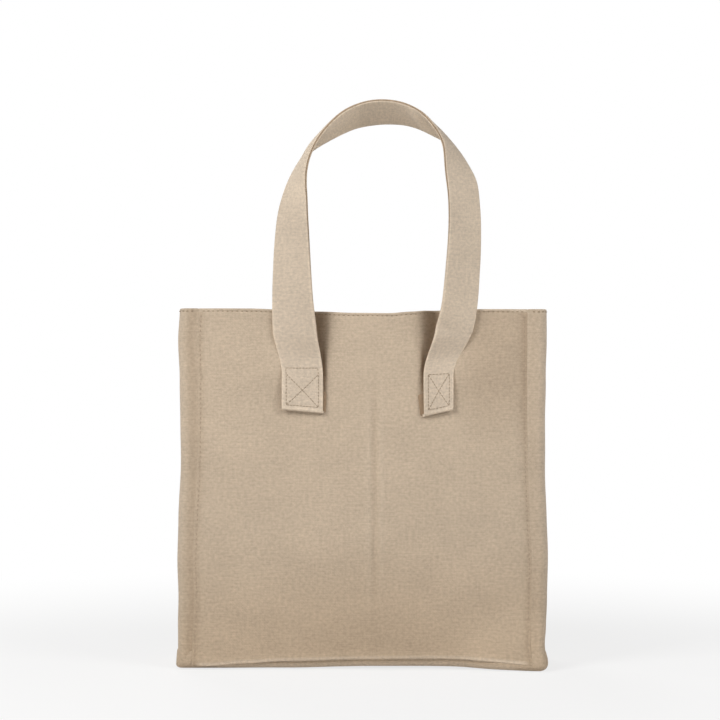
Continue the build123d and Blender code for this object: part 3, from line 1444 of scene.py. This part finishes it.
@dataclass
class CarryHandle:
    """One handle: a folded strap from a sewn end, over an arch, to the other sewn end."""

    form: BagForm
    side: Side
    width: float = 40.0
    ply: float = 2.6
    thickness: float = 3.4
    spacing: float = 130.0
    shift: float = 7.0
    rise: float = 211.0
    turn_under: float = 19.0
    hinge_gap: float = 0.3
    rows_per_station: int = 7
    tuck_steps: int = 5
    fold_steps: int = 6
    ply_steps: int = 14
    bend_steps: int = 10
    box_inset: float = 4.4
    box_steps: int = 14
    stitch_lift: float = 0.12
    # Painted shadow on the turned-under tab, and painted highlights on its fold and at the foot of the sewn
    # ply.
    tuck_rub: float = -1.0
    fold_rub: float = 1.5
    fold_rub_turn: Span = (0.35, 0.75)
    ply_rub: float = 0.5
    ply_rub_reach: float = 3.0
    pucker: float = 0.7
    pucker_across: float = 0.8
    pucker_length: float = 24.0
    pucker_seed: float = 3.7
    pucker_start: float = 1.2
    cups: Pairs = ((5.2, 3.6), (10.7, 3.4))
    cup_spread: float = 1.0
    # Painted highlight on the slanting folds of the arch.
    cross_rub: float = 0.7
    drift_start: float = 10.0
    drift_bend: float = 1.2
    lift_lean: float = 7.0
    lift_start: float = 4.0
    probe: float = 0.02
    neck_stations: float = 2.0
    groove_stations: Span = (0.5, 3.0)
    edge_start: float = 0.95
    sunk: float = 0.62
    sunk_slope: float = 0.28
    # Painted light on the shaded inner face of the arch, by station.
    inner_rub: Pairs = (
        (4.2, 0.0), (5.2, 1.0), (6.4, 0.95), (7.6, 0.58), (9.2, 0.55), (10.4, 0.75), (11.4, 0.7), (12.4, 0.0),
    )
    # Painted highlight along the edges of the sewn ends.
    end_edge_rub: float = 0.45
    # Painted highlight on the outer face of the legs, by station.
    face_rub: Pairs = (
        (0.5, 0.0), (2.5, 0.1), (3.6, 0.45), (5.0, 0.45), (6.5, 0.0), (10.5, 0.0), (12.0, 0.28), (14.8, 0.28),
        (16.0, 0.05),
    )
    route: tuple[Station, ...] = (
        Station(-1.10, 0.00, 12.0, 0.05),
        Station(-1.13, 0.14, 19.0, 0.12),
        Station(-1.14, 0.35, 30.0, 0.20),
        Station(-1.12, 0.56, 47.0, 0.21),
        Station(-1.03, 0.72, 69.5, 0.18),
        Station(-0.835, 0.833, 87.0, 0.13),
        Station(-0.53, 0.92, 105.0, 0.07),
        Station(-0.21, 0.976, 114.0, 0.045),
        Station(0.16, 0.999, 117.0, 0.03),
        Station(0.54, 0.985, 110.5, 0.055),
        Station(0.85, 0.935, 99.0, 0.10),
        Station(1.15, 0.84, 75.0, 0.17),
        Station(1.315, 0.705, 47.0, 0.23),
        Station(1.375, 0.60, 41.0, 0.245),
        Station(1.385, 0.42, 38.0, 0.25),
        Station(1.315, 0.13, 27.0, 0.19),
        Station(1.225, 0.00, 14.0, 0.06),
    )
    # The last value of each point is painted light: a highlight at the edge of the face, and painted shade
    # down the strap's side.
    edge_profile: tuple[EdgePoint, ...] = (
        EdgePoint(0.0, 1.0, 0.0),
        EdgePoint(0.35, 1.0, 0.0),
        EdgePoint(0.68, 1.02, 0.0),
        EdgePoint(0.86, 1.08, 0.05),
        EdgePoint(0.955, 1.0, 0.2),
        EdgePoint(0.99, 0.74, 0.1),
        EdgePoint(1.0, 0.42, -0.45),
        EdgePoint(0.985, 0.14, -1.0),
        EdgePoint(0.978, 0.0, -1.0),
    )
    front_ends: tuple[SewnEnd, SewnEnd] = (
        SewnEnd(
            middle=-57.3, width=39.6, fold_tilt=-5.2, neck_width=43.0, box_top=40.5, cross_drop=6.0,
            tuck_shift=2.6,
        ),
        SewnEnd(
            middle=72.5, width=29.0, fold_tilt=13.0, neck_width=36.5, box_top=36.5, tuck_shift=-3.4, drop=1.8,
            lean=4.0,
        ),
    )
    back_ends: tuple[SewnEnd, SewnEnd] = (
        SewnEnd(middle=-58.0, width=40.0, fold_tilt=3.0, neck_width=40.0, box_top=38.5),
        SewnEnd(middle=72.0, width=40.0, fold_tilt=-2.0, neck_width=40.0, box_top=38.5),
    )
    folds: tuple[CrossFold, ...] = (
        CrossFold(station=9.7, lean=-0.6, height=-3.0, spread=0.26),
        CrossFold(station=10.3, lean=-0.6, height=1.0, spread=0.24),
    )
    joint: dict = field(init=False)
    hang: float = field(init=False)
    end_low: float = field(init=False)
    end_top: float = field(init=False)
    bend_length: float = field(init=False)
    last: int = field(init=False)
    upper: float = field(init=False)

    def __post_init__(self) -> None:
        """Reads the handle's hinge and heights from the frame."""
        name = f"{self.side.word}_handle_swing"
        self.joint = next(joint for joint in frame["joints"] if joint["name"] == name)
        self.hang = 0.0 if self.side is Side.FRONT else math.radians(self.joint["range_deg"][1])
        bend_low, bend_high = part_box("front_left_strap_bend")
        self.end_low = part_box("front_left_strap_end")[0].z / MM
        self.end_top = bend_low.z / MM
        self.bend_length = (bend_high.z - bend_low.z) / MM
        self.last = len(self.route) - 1
        self.upper = 1.5 * self.ply

    def sewn(self, end: End) -> SewnEnd:
        """How one end of this handle is sewn down."""
        ends = self.front_ends if self.side is Side.FRONT else self.back_ends
        return ends[0 if end is End.LEFT else 1]

    def placed(self, across: float, height: float, out: float) -> Vector:
        """Point at a distance out from the flat panel.

        Args:
            across: place across the panel, to the right as seen from outside.
            height: height above the floor.
            out: distance outward.

        Returns:
            The point in the bag's frame, before it sags.
        """
        depth = self.form.half_depth(height) + out
        return Vector((-self.side.value * across, self.side.value * depth, height))

    def turned(self, local: Vector) -> Vector:
        """Direction in the bag's frame of a direction across, up and out of the panel."""
        return Vector((-self.side.value * local.x, self.side.value * local.z, local.y))

    def row(self, middle: Vector, across: Vector, along: Vector, width: float, sag: float) -> StrapRow:
        """Makes a row from values across, up and out of the panel.

        Args:
            middle: middle of the strap.
            across: direction of its width.
            along: direction of its length.
            width: its width.
            sag: share of the panel's sag that it follows.

        Returns:
            The row in the bag's frame.
        """
        point = self.placed(*middle)
        point = point.lerp(self.form.sag(point), sag)
        return StrapRow(point, self.turned(across), self.turned(along), width, self.ply)

    def tucked_rows(self, end: End) -> list[StrapRow]:
        """Rows of the ply that is turned under, from the cut end down to the fold and round it.

        Args:
            end: which end of the strap.

        Returns:
            The rows, from the cut end.
        """
        sewn = self.sewn(end)
        tilt = math.radians(sewn.fold_tilt)
        low = self.end_low - sewn.drop + self.ply / 2
        across_fold = Vector((math.cos(tilt), math.sin(tilt), 0))
        down_fold = Vector((math.sin(tilt), -math.cos(tilt), 0))
        under = Vector((-math.sin(tilt / 2), math.cos(tilt / 2), 0))
        rows = []
        for step in range(self.tuck_steps):
            gone = self.turn_under * (1 - step / self.tuck_steps)
            lean = tilt * (1 - gone / self.turn_under / 2)
            across = Vector((math.cos(lean), math.sin(lean), 0))
            middle = Vector((sewn.middle + sewn.tuck_shift, low, self.ply / 2)) + under * gone
            row = self.row(middle, across, -under, sewn.width, 1.0)
            row.rub = self.tuck_rub
            rows.append(row)
        for step in range(self.fold_steps + 1):
            turn = math.pi * step / self.fold_steps
            middle = Vector((sewn.middle, low, self.ply)) + down_fold * (self.ply / 2 * math.sin(turn))
            middle.x += sewn.tuck_shift * (1 + math.cos(turn)) / 2
            middle.z -= self.ply / 2 * math.cos(turn)
            along = down_fold * math.cos(turn) + Vector((0, 0, math.sin(turn)))
            row = self.row(middle, across_fold, along, sewn.width, 1.0)
            row.rub = self.fold_rub * smooth(*self.fold_rub_turn, step / self.fold_steps) + self.tuck_rub
            rows.append(row)
        return rows

    def drift(self, gone: float) -> float:
        """Share of the way from a sewn end's middle to the handle's root, by distance above the sewn end."""
        share = max(gone + self.drift_start, 0.0) / (self.bend_length + self.drift_start)
        return share**2 * (1 + self.drift_bend - self.drift_bend * share)

    def lift(self, sewn: SewnEnd, height: float) -> float:
        """Angle by which a sewn end's inner edge lifts off the panel, more above its turned-under ply.

        Args:
            sewn: how the end is sewn down.
            height: height above the floor.

        Returns:
            The angle, in radians.
        """
        turned = self.end_low + self.turn_under
        rise = smooth(turned - self.lift_start, self.end_top, height)
        return math.radians(sewn.lean + (self.lift_lean - sewn.lean) * rise)

    def ply_rows(self, end: End) -> list[StrapRow]:
        """Rows of the ply that is sewn down over the turned-under one.

        Args:
            end: which end of the strap.

        Returns:
            The rows, from the fold upward.
        """
        sewn = self.sewn(end)
        root = self.route_point(0 if end is End.LEFT else self.last)
        low = self.end_low - sewn.drop + self.ply / 2
        rows = []
        for step in range(1, self.ply_steps + 1):
            share = step / self.ply_steps
            height = low + (self.end_top - low) * share
            lean = math.radians(sewn.fold_tilt) * (1 - share)
            lift = -end.value * self.lift(sewn, height)
            direction = Vector((math.cos(lean), math.sin(lean), math.sin(lift))).normalized()
            drift = self.drift(height - self.end_top)
            across = sewn.middle + (root.x - sewn.middle) * drift
            width = sewn.width + (sewn.neck_width - sewn.width) * drift
            middle = Vector((across, height, self.upper))
            row = self.row(middle, direction, Vector((0, 1, 0)), width, 1.0)
            row.rub = self.ply_rub * smooth(self.ply_rub_reach, 0.0, height - low)
            rows.append(row)
        return rows

    def bend_rows(self, end: End) -> list[StrapRow]:
        """Rows of the soft stretch from a sewn end to the handle's root.

        Args:
            end: which end of the strap.

        Returns:
            The rows, from the sewn end.
        """
        sewn = self.sewn(end)
        root = self.route_point(0 if end is End.LEFT else self.last)
        roll = math.radians(self.route[0 if end is End.LEFT else -1].roll)
        rows = []
        for step in range(1, self.bend_steps + 1):
            share = step / self.bend_steps
            reach = smooth(0, 1, share)
            turn = self.hang * share
            out, up = 0.0, self.bend_length * share
            if self.hang:
                radius = self.bend_length / self.hang
                out, up = radius * (1 - math.cos(turn)), radius * math.sin(turn)
            drift = self.drift(self.bend_length * share)
            across = sewn.middle + (root.x - sewn.middle) * drift
            facing = Vector((0, -math.sin(turn), math.cos(turn)))
            middle = Vector((across, self.end_top + up, self.upper + out))
            middle += facing * ((root.z - self.upper) * reach)
            start = self.lift(sewn, self.end_top)
            lean = -end.value * (start + (roll - start) * reach)
            direction = Vector((math.cos(lean), 0, 0)) + facing * math.sin(lean)
            along = Vector((0, math.cos(turn), math.sin(turn)))
            width = sewn.width + (sewn.neck_width - sewn.width) * drift
            row = self.row(middle, direction, along, width, 1 - reach)
            row.thickness = self.ply + (self.thickness - self.ply) * reach
            rows.append(row)
        return rows

    def station(self, position: float) -> Station:
        """Smooth values along the handle's route.

        Args:
            position: place along the route, counted in stations.

        Returns:
            The values there, as the route gives them.
        """
        index = min(int(position), self.last - 1)
        share = position - index
        stations = [self.route[min(max(index + offset, 0), self.last)] for offset in (-1, 0, 1, 2)]
        values = []
        for before, start, end, after in zip(*stations):
            slope_in = (end - before) / 2
            slope_out = (after - start) / 2
            bend = 3 * (end - start) - 2 * slope_in - slope_out
            twist = 2 * (start - end) + slope_in + slope_out
            values.append(start + share * (slope_in + share * (bend + share * twist)))
        return Station(*values)

    def route_point(self, position: float) -> Vector:
        """Middle of the strap at a place along the route.

        Args:
            position: place along the route, counted in stations.

        Returns:
            Its values across, up and out of the panel.
        """
        station = self.station(position)
        return Vector((
            self.shift + station.across * self.spacing / 2,
            self.end_top + self.bend_length + self.hinge_gap + station.up * self.rise,
            self.upper + station.stand_off * self.width,
        ))

    def arch_rows(self) -> list[StrapRow]:
        """Rows of the upright handle above its two soft stretches.

        Returns:
            The rows, from left to right.
        """
        count = self.last * self.rows_per_station
        outward = Vector((0, 0, 1))
        left_neck = self.sewn(End.LEFT).neck_width - self.width
        right_neck = self.sewn(End.RIGHT).neck_width - self.width
        rows = []
        for number in range(count + 1):
            position = self.last * number / count
            ahead = self.route_point(min(position + self.probe, self.last))
            along = ahead - self.route_point(max(position - self.probe, 0))
            if number in (0, count):
                along = Vector((0, 1 if number == 0 else -1, 0))
            inward = along.cross(outward).normalized()
            facing = inward.cross(along).normalized()
            roll = math.radians(self.station(position).roll)
            across = inward * math.cos(roll) + facing * math.sin(roll)
            width = self.width + left_neck * smooth(self.neck_stations, 0.0, position)
            width += right_neck * smooth(self.last - self.neck_stations, self.last, position)
            row = self.row(self.route_point(position), across, along.normalized(), width, 0.0)
            row.thickness = self.thickness
            row.station = position
            row.rub = eased(self.face_rub, position)
            rows.append(row)
        return rows

    def hung_rows(self) -> list[StrapRow]:
        """Rows of the handle, dropped about its hinge.

        Returns:
            The rows, from left to right as seen from outside.
        """
        pivot = Vector(self.joint["pos_m"]) / MM
        turn = Matrix.Rotation(-self.hang, 4, Vector(self.joint["axis"]))
        about = Matrix.Translation(pivot) @ turn @ Matrix.Translation(-pivot)
        return [row.moved(about) for row in self.arch_rows()]

    def outline(self) -> list[EdgePoint]:
        """Cross-section of the strap.

        Returns:
            Its points, all the way round.
        """
        quarter = list(self.edge_profile)
        half = [edge._replace(across=-edge.across) for edge in reversed(quarter[1:])] + quarter
        return half + [edge._replace(face=-edge.face) for edge in reversed(half[1:-1])]

    def around(self, outline: Sequence[EdgePoint]) -> list[float]:
        """Measures round the cross-section.

        Args:
            outline: its points.

        Returns:
            The distance of each point, and last the whole way round.
        """
        reached = [0.0]
        for before, after in zip(outline, outline[1:] + outline[:1]):
            wide = (after.across - before.across) * self.width
            thick = (after.face - before.face) * self.thickness
            reached.append(reached[-1] + math.hypot(wide, thick) / 2)
        return reached

    def ripple(self, row: StrapRow, across: float, reached: float) -> tuple[float, float]:
        """Soft puckers and slanting folds of the free strap.

        Args:
            row: the place along the strap.
            across: share of half the width.
            reached: length of strap before the row.

        Returns:
            How far the strap stands out of its plane, and its painted highlight there.
        """
        free = smooth(0.0, self.pucker_start, row.station)
        free *= smooth(self.last, self.last - self.pucker_start, row.station)
        place = Vector((
            self.pucker_across * across, reached / self.pucker_length, self.pucker_seed * self.side.value
        ))
        out = self.pucker * noise.noise(place) * free
        inside = 1 - across**2
        cups = (depth * bell(station, self.cup_spread, row.station) for station, depth in self.cups)
        out += inside * sum(cups)
        rub = 0.0
        for fold in self.folds:
            share = inside * bell(fold.station, fold.spread, row.station - fold.lean * across)
            out += fold.height * share
            rub += self.cross_rub * share * (fold.height < 0)
        return out, rub

    def kept_out(self, point: Vector, face: float) -> Vector:
        """Keeps a point of the strap from coming through to the inside of the panel.

        Args:
            point: the point in the bag's frame.
            face: its share of half the thickness, above 0 on the strap's outer face.

        Returns:
            The point, no deeper than just inside the panel's ply.
        """
        if point.z > self.form.height:
            return point
        panel = self.form.half_depth(point.z) + self.form.swell(self.side, point.x, point.z)
        least = panel - self.form.canvas * (self.sunk - self.sunk_slope * face)
        return Vector((point.x, self.side.value * max(self.side.value * point.y, least), point.z))

    def spot(self, row: StrapRow, edge: EdgePoint, reached: float) -> tuple[Vector, float]:
        """Point of the strap's skin.

        Args:
            row: the place along the strap.
            edge: the place on its cross-section.
            reached: length of strap before the row.

        Returns:
            The point in the bag's frame, and its painted light and wear.
        """
        near, far = self.groove_stations
        free = smooth(near, far, row.station) * smooth(self.last - near, self.last - far, row.station)
        out, fold_rub = self.ripple(row, edge.across, reached)
        offset = row.across * (edge.across * row.width / 2)
        offset += row.facing() * (edge.face * row.thickness / 2 + out)
        end_highlight = self.end_edge_rub if abs(edge.across) > self.edge_start else 0.0
        edge_rub = end_highlight + (edge.rub - end_highlight) * free
        face_rub = row.rub if edge.face >= 0 else max(row.rub, eased(self.inner_rub, row.station))
        dark = min(edge_rub, row.rub)
        rub = dark if dark < 0 else min(1.0, max(edge_rub, face_rub) + fold_rub)
        return self.kept_out(row.middle + offset, edge.face), rub

    def strap(self, name: str, rows: Sequence[StrapRow]) -> bpy.types.Object:
        """Makes a closed length of strap.

        Args:
            name: the piece's name.
            rows: the places that it goes through.

        Returns:
            The new object.
        """
        outline = self.outline()
        count = len(outline)
        around = self.around(outline)
        reached = distances([row.middle for row in rows])
        spots = [self.spot(row, edge, gone) for row, gone in zip(rows, reached) for edge in outline]
        faces, places = [], []
        for number, (gone, onward) in enumerate(zip(reached, reached[1:])):
            low = number * count
            for index in range(count):
                other = (index + 1) % count
                start, end = around[index : index + 2]
                faces.append((low + index, low + count + index, low + count + other, low + other))
                places.append([(start, gone), (start, onward), (end, onward), (end, gone)])
        last = (len(rows) - 1) * count
        faces.append(tuple(range(count)))
        faces.append(tuple(last + index for index in reversed(range(count))))
        places.append([(turn, reached[0]) for turn in around[:-1]])
        places.append([(turn, reached[-1]) for turn in reversed(around[:-1])])
        piece = add_piece(name, [point for point, rub in spots], faces)
        lay_cloth(piece, places)
        mark_rub(piece, [rub for point, rub in spots])
        soften(piece, None)
        piece["strap_length"] = reached[-1]
        return piece

    def dress(
        self, piece: bpy.types.Object, canvas: bpy.types.Material
    ) -> None:
        """Gives a length of strap its cloth.

        Args:
            piece: the strap.
            canvas: its material.
        """
        piece.data.materials.append(canvas)
        size = (self.width * MM, piece["strap_length"] * MM)
        LOG.info("%s: %.0f mm of strap", piece.name, piece["strap_length"])

    def build(self, canvas: bpy.types.Material, thread: bpy.types.Material) -> None:
        """Makes the strap and sews its ends down.

        Args:
            canvas: the strap's material.
            thread: the thread's material.
        """
        ends, boxes = {}, {}
        for end in End:
            plies = self.ply_rows(end)
            boxes[end] = self.sew_box(end, plies, thread)
            ends[end] = self.tucked_rows(end) + plies + self.bend_rows(end)
        if self.side is Side.FRONT:
            self.build_upright(ends, canvas)
        else:
            self.build_hanging(ends, canvas)

    def build_upright(
        self,
        ends: dict[End, list[StrapRow]],
        canvas: bpy.types.Material,
    ) -> None:
        """Makes the upright handle as one strap that bends above its sewn ends.

        Args:
            ends: rows of each end, from its cut.
            canvas: the strap's material.
        """
        word = self.side.word
        right = [row.reversed() for row in reversed(ends[End.RIGHT])]
        strap = self.strap(f"{word}_handle_strap", ends[End.LEFT] + self.arch_rows()[1:-1] + right)
        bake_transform(strap)
        nodes = [f"{word}_handle"]
        nodes += [f"{word}_{end.name_on(self.side)}_strap_{part}" for end in End for part in ("end", "bend")]
        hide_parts(*nodes)
        self.dress(strap, canvas)

    def build_hanging(
        self,
        ends: dict[End, list[StrapRow]],
        canvas: bpy.types.Material,
    ) -> None:
        """Makes the hanging handle as an arch and two ends that bend over towards it.

        Args:
            ends: rows of each end, from its cut.
            canvas: the strap's material.
        """
        word = self.side.word
        strap = self.strap(f"{word}_handle_strap", self.hung_rows())
        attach(strap, f"{word}_handle")
        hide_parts(f"{word}_handle")
        self.dress(strap, canvas)
        start = self.placed(0.0, self.end_top, 2 * self.ply)
        reach = self.bend_length / self.hang * (1 - math.cos(self.hang))
        onward = self.turned(Vector((0, math.sin(self.hang), -math.cos(self.hang))))
        stop = start + onward * reach
        for end, rows in ends.items():
            name = end.name_on(self.side)
            tail = self.strap(f"{word}_{name}_strap", rows)
            stop * MM
            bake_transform(tail)
            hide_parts(f"{word}_{name}_strap_end", f"{word}_{name}_strap_bend")
            self.dress(tail, canvas)

    def ply_point(self, rows: Sequence[StrapRow], across: float, level: float) -> Vector:
        """Point just above the face of a sewn end.

        Args:
            rows: rows of the sewn ply.
            across: distance from its middle.
            level: height above the floor of the same row on its middle line.

        Returns:
            The point in the bag's frame.
        """
        spans = range(len(rows) - 1)
        index = next((i for i in spans if level <= rows[i + 1].middle.z), spans[-1])
        low, high = rows[index], rows[index + 1]
        share = (level - low.middle.z) / (high.middle.z - low.middle.z)
        middle = low.middle.lerp(high.middle, share)
        direction = low.across.lerp(high.across, share)
        return middle + direction * across + low.facing() * (self.ply / 2 + self.stitch_lift)

    def sew_box(self, end: End, rows: Sequence[StrapRow], thread: bpy.types.Material) -> bpy.types.Object:
        """Sews one end down with a crossed box.

        Args:
            end: which end of the strap.
            rows: rows of the sewn ply.
            thread: the thread's material.

        Returns:
            The stitch work.
        """
        sewn = self.sewn(end)
        half = sewn.width / 2 - self.box_inset
        foot = self.end_low - sewn.drop
        low, top = foot + self.box_inset, foot + sewn.box_top
        high = top - sewn.cross_drop
        lines = (
            (-half, low, half, low),
            (half, low, half, top),
            (half, top, -half, top),
            (-half, top, -half, low),
            (-half, low, half, high),
            (half, low, -half, high),
        )
        name = f"{self.side.word}_{end.name_on(self.side)}_box_stitches"
        work = StitchWork(name, length=3.1, pitch=3.2, thread=0.65, sink=0.6)
        shares = [step / self.box_steps for step in range(self.box_steps + 1)]
        for across, height, next_across, next_height in lines:
            path = []
            for share in shares:
                place = across + (next_across - across) * share
                path.append(self.ply_point(rows, place, height + (next_height - height) * share))
            work.sew(path, self.side.outward)
        return work.piece(thread)


@dataclass(frozen=True)
class Lamp:
    """A square soft lamp: its name, its place and side in metres, and its power in watts."""

    name: str
    place: tuple[float, float, float]
    size: float
    power: float

    def add(self, target: Vector) -> None:
        """Adds the lamp.

        Args:
            target: the point that it faces.
        """
        light = bpy.data.lights.new(self.name, "AREA")
        light.size = self.size
        light.energy = self.power
        holder = bpy.data.objects.new(self.name, light)
        holder.location = self.place
        holder.rotation_euler = (target - Vector(self.place)).to_track_quat("-Z", "Y").to_euler()
        bpy.context.scene.collection.objects.link(holder)


@dataclass
class Studio:
    """Camera, soft lamps, white surroundings and a pale floor."""

    scale: float = 0.9537
    picture: int = 720
    centre_across: float = -2.4
    centre_height: float = 295.2
    distance: float = 1900.0
    sensor: float = 36.0
    ambient: float = 0.12
    lamps: tuple[Lamp, ...] = (
        Lamp("left_lamp", (-1.5, -1.3, 1.55), 1.0, 34.8),
        Lamp("right_lamp", (1.5, -1.2, 1.5), 1.0, 22.3),
        Lamp("front_lamp", (0.1, -1.9, 0.4), 0.8, 3.0),
        Lamp("back_lamp", (-0.7, 1.9, 1.5), 1.0, 18.0),
    )
    aim: float = 0.25
    floor_size: float = 9.0
    floor_drop: float = 0.2
    floor_colour: Colour = (0.76, 0.75, 0.74)
    floor_glow: float = 0.75
    shadow_near: float = 0.25
    shadow_reach: float = 0.9

    def build(self) -> None:
        """Sets the scene up."""
        self.add_camera()
        self.add_world()
        for lamp in self.lamps:
            lamp.add(Vector((0, 0, self.aim)))
        self.add_floor()
        bpy.context.scene.view_settings.view_transform = "Standard"

    def add_camera(self) -> None:
        """Adds the level camera in front of the bag."""
        camera = bpy.data.cameras.new("camera")
        camera.sensor_width = self.sensor
        camera.lens = self.sensor * self.distance / (self.scale * self.picture)
        eye = bpy.data.objects.new("camera", camera)
        front = -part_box("front_panel")[0].y / MM
        eye.location = Vector((self.centre_across, -front - self.distance, self.centre_height)) * MM
        eye.rotation_euler = (math.pi / 2, 0, 0)
        bpy.context.scene.collection.objects.link(eye)
        bpy.context.scene.camera = eye

    def shown(self, tree: bpy.types.NodeTree) -> Wire:
        """Value that is 1 where the background is seen, mirrored or seen through something.

        Args:
            tree: node tree of the world or of the floor's material.

        Returns:
            The sum of the light path's three kinds of ray.
        """
        path = tree.nodes.new("ShaderNodeLightPath")
        seen, mirrored, through = (
            Wire(tree, path.outputs[f"Is {kind} Ray"]) for kind in ("Camera", "Glossy", "Transmission")
        )
        return seen + mirrored + through

    def add_world(self) -> None:
        """Lights the scene softly all round and shows white behind it."""
        world = bpy.data.worlds.new("surroundings")
        world.use_nodes = True
        tree = world.node_tree
        tree.nodes.clear()
        strength = self.ambient + (1 - self.ambient) * self.shown(tree)
        background = tree.nodes.new("ShaderNodeBackground")
        background.inputs["Color"].default_value = (1, 1, 1, 1)
        tree.links.new(strength.socket, background.inputs["Strength"])
        output = tree.nodes.new("ShaderNodeOutputWorld")
        tree.links.new(background.outputs[0], output.inputs["Surface"])
        bpy.context.scene.world = world

    def add_floor(self) -> None:
        """Adds a pale floor that shows white, but for the bag's shadow near it."""
        bpy.ops.object.select_all(action="DESELECT")
        bpy.ops.mesh.primitive_plane_add(size=self.floor_size, location=(0, 0, -self.floor_drop * MM))
        floor = bpy.context.object
        floor.name = "floor"
        bpy.ops.object.transform_apply(location=True, rotation=True, scale=True)
        tree = FinishTree("pale_floor")
        diffuse = tree.wire("ShaderNodeBsdfDiffuse", {}, {"Color": (*self.floor_colour, 1)})
        glow = tree.wire("ShaderNodeEmission", {}, {"Color": (1, 1, 1, 1), "Strength": 1.0})
        place = tree.wire("ShaderNodeTexCoord", {}, {}, "Object")
        away = tree.wire("ShaderNodeVectorMath", {"operation": "LENGTH"}, {0: place}, "Value")
        fade = {"From Min": self.shadow_near, "From Max": self.shadow_reach, "To Min": self.floor_glow}
        white = tree.wire("ShaderNodeMapRange", {"interpolation_type": "SMOOTHSTEP"}, {"Value": away, **fade})
        glowing = self.shown(tree.tree) * white
        mixed = tree.wire("ShaderNodeMixShader", {}, {0: glowing, 1: diffuse, 2: glow})
        floor.data.materials.append(tree.finish(mixed))


def main() -> None:
    """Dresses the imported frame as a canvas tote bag."""
    logging.basicConfig(level=logging.INFO)
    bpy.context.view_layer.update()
    Studio().build()
    # Each canvas has its own colour and a paler colour for painted highlights and wear; the strap canvas is a
    # paler copy of the bag's, partly its own tone and partly painted light.
    bag_colours = ((0.545, 0.437, 0.324), (0.7, 0.59, 0.47))
    # The bag canvas is given painted shade towards the floor.
    bag_canvas = CanvasFinish("bag_canvas", *bag_colours, low_tint=(0.93, 0.9, 0.86)).material()
    strap_canvas = CanvasFinish("strap_canvas", (0.615, 0.508, 0.395), (0.83, 0.69, 0.53)).material()
    # The hem and box threads are darker than the seam thread: partly the thread's own colour, partly painted
    # shade in their sunken stitches.
    hem_thread = ThreadFinish("hem_thread", (0.26, 0.185, 0.115)).material()
    seam_thread = ThreadFinish("seam_thread", (0.39, 0.3, 0.215)).material()
    box_thread = ThreadFinish("box_thread", (0.34, 0.26, 0.18)).material()
    form = BagForm()
    BaseSheet(form).build(bag_canvas)
    for direction in (-1, 1):
        GussetSheet(form, direction).build(bag_canvas, hem_thread)
    for side in Side:
        PanelSheet(form, side).build(bag_canvas, hem_thread, seam_thread)
        CarryHandle(form, side).build(strap_canvas, box_thread)


if __name__ == "__main__":
    main()
